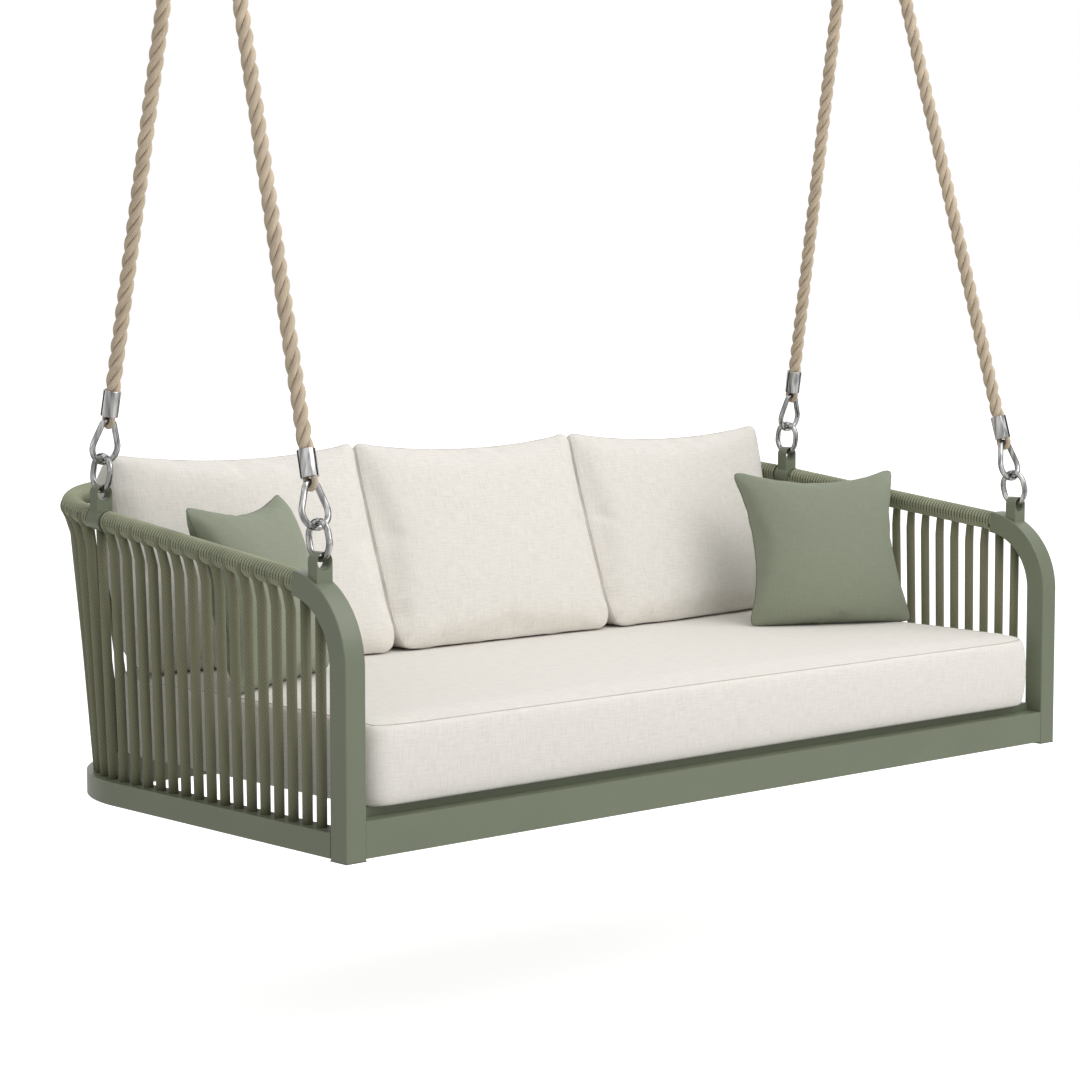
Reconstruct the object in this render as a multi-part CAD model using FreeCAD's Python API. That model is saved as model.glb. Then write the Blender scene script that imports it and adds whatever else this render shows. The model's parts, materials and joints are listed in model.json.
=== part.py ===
import FreeCAD, Part
import math
import os
from FreeCAD import Matrix, Placement, Rotation, Vector

# A three-seat hanging sofa: a tube frame with cord infill, loose cushions and four taut ropes.
# While it is drawn, the front faces of the posts lie at y = 0 and the underside of the base at z = 0.
# At the end everything moves so that the origin lies between the two hangers, on the ceiling.
# All lengths are in millimetres and all angles in degrees.

# Overall frame
sofa_width = 2100.0
base_depth = 1065.0          # front face of the posts to the middle of the rear base rail
rail_depth = 1150.0          # front face of the posts to the axis of the rear arm rail
rail_rise_angle = 6.5        # the arm rail climbs towards the back at this angle

# Front posts, square tube bent over into the arms
post_size = 48.0
post_wall = 4.0
post_edge_round = 3.0
post_foot_drop = 5.0         # the posts reach this far below the base rails
post_straight = 353.5        # underside of the base to the start of the bend
arch_radius = 151.0          # to the middle of the tube
post_plug_depth = 14.0
post_plug_flange = 2.0
plug_clearance = 0.2

# Base rails
front_rail_height = 70.0
front_rail_recess = 1.5
base_rail_height = 48.0
base_rail_width = 48.0
rail_wall = 1.8
front_rail_wall = 5.0        # the front rail spans the whole seat
base_corner_radius = 300.0   # to the middle of the rail

# Seat deck under the cushion
beam_width = 30.0            # cross beam that carries the rear ends of the slats
beam_setback = 960.0         # front face of the posts to the middle of the cross beam
slat_count = 11
slat_width = 70.0
slat_thickness = 18.0
slat_wall = 2.0
slat_side_margin = 110.0     # inner face of the side rail to the first slat's edge
front_slat_setback = 40.0    # front face of the posts to the cross slat on the front rail
front_slat_width = 40.0

# Arm rail, round tube under a close cord wrap
tube_diameter = 32.0
tube_wall = 1.6
wrap_thickness = 6.0
rail_corner_radius = 300.0   # to the axis of the tube

# Infill cords
cord_diameter = 19.0
cord_count = 86
first_cord_setback = 103.0   # front face of the posts to the first cord

# Hanging lugs
lug_width = 36.0
lug_thickness = 28.0
lug_hole_diameter = 29.0
lug_hole_flare = 5.0         # depth of the flared rim on each side of the hole
front_lug_setback = 103.0
front_lug_hole_height = 547.0
rear_lug_hole_above_axis = 54.0
rear_collar_width = 44.0     # the rear lug's collar ends where the rail's corner starts
rear_collar_thickness = 7.0

# Links, rope ends and ropes
wire_diameter = 12.5
seat_gap = 0.2               # play between two pieces that hang in each other
oval_link_width = 60.0       # link sizes are between wire middles
oval_link_height = 71.0
pear_link_width = 60.0
pear_link_top_width = 32.0
pear_link_height = 87.0
strand_diameter = 12.0
eye_loop_radius = 13.2       # to the middle of the strand, at the links
ring_eye_loop_radius = 15.6  # the same at the rings, whose wire is curved
eye_lean = 20.0              # the legs of an eye lean in by this angle, at the links
ring_eye_lean = 7.4          # the same at the rings
ferrule_diameter = 36.0
ferrule_length = 54.0
ferrule_floor = 12.0
ferrule_edge = 1.0
rope_diameter = 31.0
rope_fit = 0.1               # radial play of the rope in its ferrule
lower_ferrule_rise = 8.0     # middle of the link's wire to the ferrule's end face
upper_ferrule_drop = 70.0    # middle of the ring's wire to the ferrule's end face
front_link_rise = 4.75       # the link's wire sits this far above the middle of the lug's hole
rear_link_rise = 6.35
front_link_shift = -5.3      # and this far towards the back, where the slanting pull draws it
rear_link_shift = 5.5
ring_eye_play = 0.75         # play of the rope eyes on the rings

# Place where the ropes of one side meet
hang_spread = 963.0          # middle of the sofa to the hanger
hang_setback = 545.0         # front face of the posts to the hanger, near the centre of mass
hang_height = 2180.0         # underside of the base to the ring's lowest wire middle
rope_spacing = 18.0          # between the two rope eyes in a ring

# Hangers
ring_wire_diameter = 14.0
ring_radius = 47.0           # to the middle of the wire
swing_eye_thickness = 20.0
swing_eye_width = 44.0
swing_eye_length = 58.0      # ring hole to pin
ring_hole_diameter = 26.0
pin_diameter = 14.0
pin_running_clearance = 0.05
bush_wall = 3.0
ear_thickness = 8.0
ear_width = 42.0
ear_side_gap = 0.5
pin_below_plate = 34.0
pin_head_diameter = 24.0
pin_head_length = 8.0
nut_width = 22.0
nut_length = 11.0
pin_tail = 3.0
plate_width = 60.0
plate_length = 130.0
plate_thickness = 8.0
plate_corner_round = 10.0
plate_hole_spacing = 90.0
plate_hole_diameter = 11.0

# Seat cushion
seat_inset = 54.0            # middle of the infill cords to the cushion
seat_front_setback = 8.0
seat_thickness = 168.0
seat_front_corner_radius = 36.0
seat_edge_roll = 15.0
seat_crown = 10.0
seat_side_draw = 5.0

# Back cushions
back_cushion_count = 3
back_cushion_gap = 6.0
back_cushion_height = 474.0
back_cushion_thickness = 232.0
back_cushion_recline = 14.5
back_stand_room = 290.0      # foot of the front seam to the foot of the cords behind it
back_lean_room = 85.0        # how far the rail may stand behind the foot of the cords
back_crown = 36.0
back_corner_radius = 34.0
back_side_draw = 13.0
back_top_dip = 16.0
back_side_taper = 24.0       # how far a cushion's side draws in at its back panel
back_corner_taper = 165.0    # the same, where the frame's corner rounds behind it

# Throw pillows
pillow_size = 414.0
pillow_height = 388.0
pillow_thickness = 150.0
pillow_corner_radius = 16.0
pillow_side_draw = 24.0
left_pillow_inset = 243.0    # axis of the arm rail to the middle of the pillow's foot
left_pillow_room = 235.0     # the same to the front seam of the back cushion
left_pillow_turn = 26.0
left_pillow_recline = 17.0
right_pillow_inset = 254.0
right_pillow_room = 330.0
right_pillow_turn = -27.0
right_pillow_recline = 21.0

# General
soft_gap = 0.3               # clearance round loose soft pieces
overrun = 20.0               # how far a cutting shape passes the face that it cuts

# Shares of a cushion's half thickness and of its inset, from the seam to the crown
pillow_rise_shares = (0.0, 0.30, 0.62, 0.88, 1.0)
pillow_inset_shares = (0.0, 0.06, 0.19, 0.42, 0.70)
pillow_round_share = 0.2
back_front_rise_shares = (0.55, 1.0)
back_front_inset_shares = (0.22, 0.68)
back_depth_shares = (0.0, 0.12, 0.45, 0.80, 1.0)
back_taper_shares = (0.0, 0.02, 0.20, 0.62, 1.0)
back_foot_lift_share = 0.26
back_top_fall_share = 0.17
seat_level_shares = (0.0, 0.10, 0.50, 0.86, 0.955, 1.0)
seat_roll_shares = (0.85, 0.0, -0.25, 0.0, 0.75, 4.0)
seat_cap_roll_share = 12.0

X_AXIS = Vector(1, 0, 0)
Y_AXIS = Vector(0, 1, 0)
Z_AXIS = Vector(0, 0, 1)
SIDES = (("left", -1.0), ("right", 1.0))

# Sizes that follow from the ones above
half_post = post_size / 2
rail_x = sofa_width / 2 - half_post
inner_x = sofa_width / 2 - post_size
wrap_radius = tube_diameter / 2 + wrap_thickness
wire_radius = wire_diameter / 2
ring_wire_radius = ring_wire_diameter / 2
strand_radius = strand_diameter / 2
arch_turn = math.radians(90.0 - rail_rise_angle)
rail_start_y = half_post + arch_radius * (1 - math.cos(arch_turn))
rail_start_z = post_straight + arch_radius * math.sin(arch_turn)
rise = math.radians(rail_rise_angle)
rail_length = (rail_depth - rail_start_y) / math.cos(rise)
rail_bend = rail_length - rail_corner_radius
rail_corner_x = rail_x - rail_corner_radius
base_bend = base_depth - base_corner_radius
base_corner_x = rail_x - base_corner_radius
deck_height = front_rail_height + slat_thickness
seat_top = deck_height + soft_gap + seat_thickness
back_cushion_setback = min(base_depth, rail_depth - back_lean_room) - back_stand_room
left_pillow_x = left_pillow_inset - rail_x
left_pillow_y = back_cushion_setback - left_pillow_room
right_pillow_x = rail_x - right_pillow_inset
right_pillow_y = back_cushion_setback - right_pillow_room
ring_middle_z = hang_height + ring_radius
ring_top_z = ring_middle_z + ring_radius
ring_hole_play = (ring_hole_diameter - ring_wire_diameter) / 2
ring_hole_sag = (swing_eye_thickness / 2) ** 2 / (2 * ring_radius)
ring_hole_z = ring_top_z + ring_hole_play - ring_hole_sag - 2 * seat_gap
pin_z = ring_hole_z + swing_eye_length
plate_low_z = pin_z + pin_below_plate
ceiling_z = plate_low_z + plate_thickness
to_origin = Vector(0, -hang_setback, -ceiling_z)
rail_plane = Placement(Vector(0, rail_start_y, rail_start_z), Rotation(X_AXIS, rail_rise_angle))

made = {}


def keep(name, *solids):
    """Move finished solids to the part's own frame and write them as one node."""
    shapes = []
    for solid in solids:
        moved = solid.copy()
        moved.translate(to_origin)
        shapes.append(moved)
    shape = shapes[0] if len(shapes) == 1 else Part.makeCompound(shapes)
    made[name] = shape
    shape.exportStep("parts/%s.step" % name)


def mirrored(shape):
    """The same piece on the other side of the sofa."""
    return shape.mirror(Vector(0, 0, 0), X_AXIS)


def on_side(shape, sign):
    """Pieces are drawn on the right; this gives the one for either side."""
    return shape if sign > 0 else mirrored(shape)


def single(shape):
    """The one solid that a cut or a fuse leaves."""
    return max(shape.Solids, key=lambda solid: solid.Volume)


def frame_along(origin, along, hint):
    """A placement whose z runs along one direction and whose x leans to a hint."""
    z = Vector(along).normalize()
    x = hint - z * hint.dot(z)
    x.normalize()
    y = z.cross(x)
    m = Matrix(x.x, y.x, z.x, origin.x, x.y, y.y, z.y, origin.y, x.z, y.z, z.z, origin.z, 0, 0, 0, 1)
    return Placement(m)


def arc_edge(centre, radius, start, end, plane):
    """An arc in a plane given by two unit vectors, from one angle to another."""
    u, v = plane

    def at(angle):
        return centre + u * (radius * math.cos(angle)) + v * (radius * math.sin(angle))

    return Part.Arc(at(start), at((start + end) / 2), at(end)).toShape()


def line_edge(a, b):
    return Part.LineSegment(a, b).toShape()


def tube_on(path, radius):
    """A round bar along a smooth path that starts with its first edge."""
    first = path.OrderedEdges[0]
    start = first.valueAt(first.FirstParameter)
    along = first.tangentAt(first.FirstParameter)
    ring = Part.Wire(Part.Circle(start, along, radius).toShape())
    return path.makePipeShell([ring], True, False)


# Base

def box_tube(length, width, height, wall):
    """A rectangular tube along x, open at both ends, centred on x and y, standing on z = 0."""
    outer = Part.makeBox(length, width, height, Vector(-length / 2, -width / 2, 0))
    reach = length + 2 * overrun
    inner = Part.makeBox(
        reach, width - 2 * wall, height - 2 * wall, Vector(-reach / 2, -width / 2 + wall, wall)
    )
    return outer.cut(inner)


def build_base():
    front = box_tube(2 * inner_x, base_rail_width, front_rail_height, front_rail_wall)
    front.translate(Vector(0, front_rail_recess + base_rail_width / 2, 0))
    keep("base_front_rail", front)

    back = box_tube(2 * base_corner_x, base_rail_width, base_rail_height, rail_wall)
    back.translate(Vector(0, base_depth, 0))
    keep("base_back_rail", back)

    side = box_tube(base_bend - post_size, base_rail_width, base_rail_height, rail_wall)
    side.rotate(Vector(0, 0, 0), Z_AXIS, 90)
    side.translate(Vector(rail_x, (base_bend + post_size) / 2, 0))

    def bent(width, height, low):
        near = base_corner_radius - width / 2
        corners = [
            Vector(base_corner_x + near, base_bend, low),
            Vector(base_corner_x + near + width, base_bend, low),
            Vector(base_corner_x + near + width, base_bend, low + height),
            Vector(base_corner_x + near, base_bend, low + height),
        ]
        face = Part.Face(Part.makePolygon(corners + corners[:1]))
        return face.revolve(Vector(base_corner_x, base_bend, 0), Z_AXIS, 90)

    corner = bent(base_rail_width, base_rail_height, 0)
    hollow = bent(base_rail_width - 2 * rail_wall, base_rail_height - 2 * rail_wall, rail_wall)
    corner = corner.cut(hollow)

    for side_name, sign in SIDES:
        keep("base_side_rail_" + side_name, on_side(side, sign))
        keep("base_corner_" + side_name, on_side(corner, sign))

    beam = box_tube(2 * inner_x, beam_width, front_rail_height, rail_wall)
    beam.translate(Vector(0, beam_setback, 0))
    tall = bent(base_rail_width, front_rail_height, 0)
    keep("seat_cross_beam", single(beam.cut([tall, mirrored(tall)])))

    front_slat = box_tube(2 * (inner_x - seat_gap), front_slat_width, slat_thickness, slat_wall)
    front_slat.translate(Vector(0, front_slat_setback + front_slat_width / 2, front_rail_height))
    slat_start = front_slat_setback + front_slat_width
    slat_length = beam_setback + beam_width / 2 - slat_start
    first_x = inner_x - slat_side_margin - slat_width / 2
    step = 2 * first_x / (slat_count - 1)
    slats = [front_slat]
    for index in range(slat_count):
        slat = box_tube(slat_length, slat_width, slat_thickness, slat_wall)
        slat.rotate(Vector(0, 0, 0), Z_AXIS, 90)
        place_y = slat_start + slat_length / 2
        slat.translate(Vector(-first_x + index * step, place_y, front_rail_height))
        slats.append(slat)
    keep("seat_slats", *slats)


# Front posts

def post_profile(inset, foot, end_inset):
    """The side outline of the bent post, drawn in y and z, inset from the tube's faces."""
    bend = Vector(0, half_post + arch_radius, post_straight)
    outer = arch_radius + half_post - inset
    inner = arch_radius - half_post + inset
    turn = arch_turn - end_inset / arch_radius
    plane = (Y_AXIS, Z_AXIS)
    sweep_end = math.pi - turn
    outer_arc = arc_edge(bend, outer, math.pi, sweep_end, plane)
    inner_arc = arc_edge(bend, inner, sweep_end, math.pi, plane)
    outer_foot = Vector(0, bend.y - outer, foot)
    inner_foot = Vector(0, bend.y - inner, foot)
    wire = Part.Wire([
        line_edge(outer_foot, outer_arc.Vertexes[0].Point),
        outer_arc,
        line_edge(outer_arc.Vertexes[-1].Point, inner_arc.Vertexes[0].Point),
        inner_arc,
        line_edge(inner_arc.Vertexes[-1].Point, inner_foot),
        line_edge(inner_foot, outer_foot),
    ])
    return Part.Face(wire)


def build_posts():
    def block(inset, foot, end_inset):
        body = post_profile(inset, foot, end_inset).extrude(Vector(post_size - 2 * inset, 0, 0))
        body.translate(Vector(rail_x - half_post + inset, 0, 0))
        return body

    def is_long_edge(edge):
        points = [vertex.Point for vertex in edge.Vertexes]
        same_x = abs(points[0].x - points[1].x) < post_wall
        across = abs(points[0].distanceToPoint(points[1]) - post_size) < post_wall
        return same_x and not across

    plain = block(0, -post_foot_drop + post_plug_flange, 0)
    rounded = plain.makeFillet(post_edge_round, [edge for edge in plain.Edges if is_long_edge(edge)])
    post = single(rounded.cut(block(post_wall, -post_foot_drop - overrun, post_wall)))

    hollow = post_size - 2 * post_wall - 2 * plug_clearance
    stem = Part.makeBox(hollow, hollow, post_plug_depth)
    stem.translate(Vector(rail_x - hollow / 2, half_post - hollow / 2, post_plug_flange - post_foot_drop))
    flange = Part.makeBox(post_size, post_size, post_plug_flange)
    flange.translate(Vector(inner_x, 0, -post_foot_drop))
    plug = stem.fuse(flange).removeSplitter()

    for side_name, sign in SIDES:
        keep("front_post_" + side_name, on_side(post, sign))
    keep("post_end_plugs", mirrored(plug), plug)
    return plain


# Arm rail

def arm_path(start, end):
    """An edge along the right arm of the rail's axis."""
    return [line_edge(Vector(rail_x, start, 0), Vector(rail_x, end, 0))]


def corner_path():
    """An edge round the right corner of the rail's axis."""
    corner = Vector(rail_corner_x, rail_bend, 0)
    return [arc_edge(corner, rail_corner_radius, 0, math.pi / 2, (X_AXIS, Y_AXIS))]


def back_path():
    """An edge across the back of the rail's axis."""
    return [line_edge(Vector(rail_corner_x, rail_length, 0), Vector(-rail_corner_x, rail_length, 0))]


def rail_bar(edges, radius):
    """A round bar along a stretch of the rail, set in the rail's sloping plane."""
    bar = tube_on(Part.Wire(Part.__sortEdges__(edges)), radius)
    bar.Placement = rail_plane.multiply(bar.Placement)
    return bar


def build_rail():
    tube_radius = tube_diameter / 2
    collar_start = rail_bend - rear_collar_width
    arm = arm_path(0, collar_start)
    corner = corner_path()
    back = back_path()
    half = arm_path(0, rail_bend) + corner
    whole = half + back + [mirrored(edge) for edge in half]

    tube = rail_bar(whole, tube_radius).cut(rail_bar(whole, tube_radius - tube_wall))
    keep("rail_tube", single(tube))

    core = rail_bar(whole, tube_radius)

    def wrap(edges):
        return single(rail_bar(edges, wrap_radius).cut(core))

    arm_wrap = wrap(arm)
    corner_wrap = wrap(corner)
    for side_name, sign in SIDES:
        keep("arm_wrap_" + side_name, on_side(arm_wrap, sign))
        keep("corner_wrap_" + side_name, on_side(corner_wrap, sign))
    keep("back_wrap", wrap(back))

    collar = rail_bar(arm_path(collar_start, rail_bend), tube_radius + rear_collar_thickness)
    bars = [rail_bar(stretch, wrap_radius) for stretch in (arm, corner, back)]
    return core, collar, bars


# Lugs

def rear_lug_axis():
    """The point on the rail's axis that carries the right rear lug."""
    return rail_plane.multVec(Vector(rail_x, rail_bend - rear_collar_width / 2, 0))


def lug_holes():
    """Middles of the front and rear lug holes on the right."""
    rear = rear_lug_axis()
    return {
        "front": Vector(rail_x, front_lug_setback, front_lug_hole_height),
        "rear": rear + Vector(0, 0, rear_lug_hole_above_axis),
    }


def lug_block(hole, foot_z):
    """A tab with a half-round top and a flared hole along y."""
    half = lug_width / 2
    top_y = hole.y - lug_thickness / 2
    centre = Vector(hole.x, top_y, hole.z)
    dome = arc_edge(centre, half, 0, math.pi, (X_AXIS, Z_AXIS))
    right_foot = Vector(hole.x + half, top_y, foot_z)
    left_foot = Vector(hole.x - half, top_y, foot_z)
    outline = Part.Wire([
        line_edge(right_foot, dome.Vertexes[0].Point),
        dome,
        line_edge(dome.Vertexes[-1].Point, left_foot),
        line_edge(left_foot, right_foot),
    ])
    block = Part.Face(outline).extrude(Vector(0, lug_thickness, 0))
    radius = lug_hole_diameter / 2
    block = block.cut(Part.makeCylinder(radius, lug_thickness, centre, Y_AXIS))
    wide = radius + lug_hole_flare / 2
    block = block.cut(Part.makeCone(wide, radius, lug_hole_flare, centre, Y_AXIS))
    far = centre + Vector(0, lug_thickness, 0)
    return block.cut(Part.makeCone(wide, radius, lug_hole_flare, far, -Y_AXIS))


def build_lugs(post_block, core, collar):
    holes = lug_holes()
    reach = half_post + arch_radius - front_lug_setback
    front = lug_block(holes["front"], post_straight + math.sqrt(arch_radius ** 2 - reach ** 2))
    front = single(front.cut(post_block))
    rear = lug_block(holes["rear"], rear_lug_axis().z)
    rear = single(rear.fuse(collar).removeSplitter().cut(core))
    keep("front_lugs", mirrored(front), front)
    keep("rear_lugs", mirrored(rear), rear)


# Infill cords

def along_u(distance, straight, radius, corner_x, bend):
    """A point at a distance along a U-shaped line that starts at the front on the left."""
    quarter = radius * math.pi / 2
    total = 2 * (straight + quarter) + 2 * corner_x
    if distance > total / 2:
        x, y = along_u(total - distance, straight, radius, corner_x, bend)
        return -x, y
    if distance <= straight:
        return -(corner_x + radius), bend - straight + distance
    if distance <= straight + quarter:
        angle = (distance - straight) / radius
        return -(corner_x + radius * math.cos(angle)), bend + radius * math.sin(angle)
    return -corner_x + distance - straight - quarter, bend + radius


def build_cords(post_block, cutters):
    base_straight = base_bend - first_cord_setback
    rail_straight = rail_bend + (rail_start_y - first_cord_setback) / math.cos(rise)
    base_total = 2 * (base_straight + base_corner_radius * math.pi / 2 + base_corner_x)
    rail_total = 2 * (rail_straight + rail_corner_radius * math.pi / 2 + rail_corner_x)
    blocks = [post_block] + cutters
    everything = blocks + [mirrored(block) for block in blocks]
    groups = {name: [] for name in ("side_left", "corner_left", "back", "corner_right", "side_right")}
    for index in range(cord_count):
        share = index / (cord_count - 1)
        foot_xy = along_u(share * base_total, base_straight, base_corner_radius, base_corner_x, base_bend)
        head_xy = along_u(share * rail_total, rail_straight, rail_corner_radius, rail_corner_x, rail_bend)
        foot = Vector(foot_xy[0], foot_xy[1], base_rail_height)
        head = rail_plane.multVec(Vector(head_xy[0], head_xy[1], 0))
        along = Vector(head - foot).normalize()
        start = foot - along * cord_diameter
        cord = Part.makeCylinder(cord_diameter / 2, (head - start).Length, start, along)
        floor = Part.makeBox(4 * cord_diameter, 4 * cord_diameter, 2 * cord_diameter)
        floor.translate(foot - Vector(2 * cord_diameter, 2 * cord_diameter, 2 * cord_diameter))
        near = [block for block in everything if block.BoundBox.intersect(cord.BoundBox)]
        cord = single(cord.cut([floor] + near))
        if abs(foot.x) > base_corner_x and foot.y > base_bend:
            group = "corner"
        else:
            group = "side" if foot.y <= base_bend else "back"
        if group != "back":
            group += "_left" if foot.x < 0 else "_right"
        groups[group].append(cord)
    for group, cords in groups.items():
        keep("infill_cords_" + group, *cords)
    gap = base_total / (cord_count - 1) - cord_diameter
    print("infill cords", cord_count, "with", round(gap, 1), "mm between them at the base")


# Links and rope ends, each drawn along z with the load at the top

def oval_link():
    """A chain link in the y z plane, with its lower wire middle at the origin."""
    half = oval_link_width / 2
    low = Vector(0, 0, half)
    high = Vector(0, 0, oval_link_height - half)
    plane = (Y_AXIS, Z_AXIS)
    bottom = arc_edge(low, half, math.pi, 2 * math.pi, plane)
    top = arc_edge(high, half, 0, math.pi, plane)
    across = Vector(0, half, 0)
    path = Part.Wire([
        bottom,
        line_edge(low + across, high + across),
        top,
        line_edge(high - across, low - across),
    ])
    return tube_on(path, wire_radius)


def pear_link():
    """A pear-shaped link in the x z plane, narrow end up, with its lower wire middle at the origin."""
    big = pear_link_width / 2
    small = pear_link_top_width / 2
    low = Vector(0, 0, big)
    high = Vector(0, 0, pear_link_height - small)
    lean = math.asin((big - small) / (high.z - low.z))
    plane = (X_AXIS, Z_AXIS)
    bottom = arc_edge(low, big, math.pi - lean, 2 * math.pi + lean, plane)
    top = arc_edge(high, small, lean, math.pi - lean, plane)

    def at(edge, index):
        return edge.Vertexes[index].Point

    path = Part.Wire([
        bottom,
        line_edge(at(bottom, -1), at(top, 0)),
        top,
        line_edge(at(top, -1), at(bottom, 0)),
    ])
    return tube_on(path, wire_radius)


def rope_eye(loop_radius, leg_lean, carrier_radius, play, end_z):
    """The small loop that a rope end makes round a wire whose middle is the origin."""
    shift = loop_radius - carrier_radius - strand_radius - play
    centre = Vector(0, 0, shift)
    lean = math.radians(leg_lean)
    plane = (Y_AXIS, Z_AXIS)
    loop = arc_edge(centre, loop_radius, math.pi - lean, 2 * math.pi + lean, plane)
    left = loop.Vertexes[0].Point
    right = loop.Vertexes[-1].Point
    inward = Vector(0, -math.sin(lean), math.cos(lean))
    reach = (end_z + strand_radius - right.z) / inward.z
    right_end = right + inward * reach
    left_end = Vector(left.x, -right_end.y, right_end.z)
    path = Part.Wire([line_edge(left_end, left), loop, line_edge(right, right_end)])
    eye = tube_on(path, strand_radius)
    span = 2 * ferrule_diameter
    trim = Part.makeBox(span, span, span, Vector(-span / 2, -span / 2, end_z))
    return single(eye.cut(trim))


def ferrule():
    """A crimped steel sleeve, closed at the bottom, that takes the rope from the top."""
    radius = ferrule_diameter / 2
    body = Part.makeCylinder(radius, ferrule_length)
    body = body.makeChamfer(ferrule_edge, body.Edges[:1] + body.Edges[2:])
    bore = rope_diameter / 2 + rope_fit
    return body.cut(Part.makeCylinder(bore, ferrule_length, Vector(0, 0, ferrule_floor)))


def build_suspension():
    """One rope on each corner, with its links at the lug and its eye in the ring above."""
    holes = lug_holes()
    seats = {
        "front": Vector(0, front_link_shift, front_link_rise),
        "rear": Vector(0, rear_link_shift, rear_link_rise),
    }
    eye_offset = {"front": rope_spacing / 2, "rear": -rope_spacing / 2}
    pear_foot = oval_link_height - wire_diameter - seat_gap
    pear_head = pear_foot + pear_link_height
    oval_links = []
    pear_links = []
    lower_eyes = []
    upper_eyes = []
    lengths = {}
    for corner, hole in holes.items():
        start = hole + seats[corner]
        offset = eye_offset[corner]
        drop = math.sqrt(ring_radius ** 2 - offset ** 2)
        end = Vector(hang_spread + offset, hang_setback, ring_middle_z - drop)
        along = end - start
        up = frame_along(start, along, X_AXIS)
        wire_way = Vector(drop, 0, offset)
        down = frame_along(end, -along, wire_way)
        far = along.Length

        def placed(shape, frame, lift):
            moved = shape.copy()
            moved.Placement = frame.multiply(Placement(Vector(0, 0, lift), Rotation()))
            return moved

        lower_ferrule_z = pear_head + lower_ferrule_rise
        oval_links.append(placed(oval_link(), up, 0))
        pear_links.append(placed(pear_link(), up, pear_foot))
        lower_eye = rope_eye(eye_loop_radius, eye_lean, wire_radius, seat_gap, lower_ferrule_rise)
        upper_eye = rope_eye(
            ring_eye_loop_radius, ring_eye_lean, ring_wire_radius, ring_eye_play, upper_ferrule_drop
        )
        lower_eyes.append(placed(lower_eye, up, pear_head))
        lower = placed(ferrule(), up, lower_ferrule_z)
        upper_eyes.append(placed(upper_eye, down, 0))
        upper = placed(ferrule(), down, upper_ferrule_drop)
        rope_start = lower_ferrule_z + ferrule_floor
        rope_length = far - rope_start - upper_ferrule_drop - ferrule_floor
        rope = placed(Part.makeCylinder(rope_diameter / 2, rope_length), up, rope_start)
        lengths[corner] = rope_length
        for side_name, sign in SIDES:
            name = corner + "_" + side_name
            keep("lower_ferrule_" + name, on_side(lower, sign))
            keep("upper_ferrule_" + name, on_side(upper, sign))
            keep("rope_" + name, on_side(rope, sign))
        ends = (up.multVec(Vector(0, 0, rope_start)), up.multVec(Vector(0, 0, rope_start + rope_length)))
        print(corner, "rope from", ends[0] + to_origin, "to", ends[1] + to_origin)
        leave = up.multVec(Vector(0, 0, lower_ferrule_z + ferrule_length)) + to_origin
        print(corner, "rope leaves its ferrule at", leave)
    for side_name, sign in SIDES:
        keep("oval_links_" + side_name, *[on_side(link, sign) for link in oval_links])
        keep("pear_links_" + side_name, *[on_side(link, sign) for link in pear_links])
    keep("lower_rope_eyes", *[on_side(eye, sign) for side_name, sign in SIDES for eye in lower_eyes])
    keep("upper_rope_eyes", *[on_side(eye, sign) for side_name, sign in SIDES for eye in upper_eyes])
    for corner, length in lengths.items():
        print(corner, "rope length", round(length, 1), "in each ferrule", ferrule_length - ferrule_floor)


# Hangers on the ceiling

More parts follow.
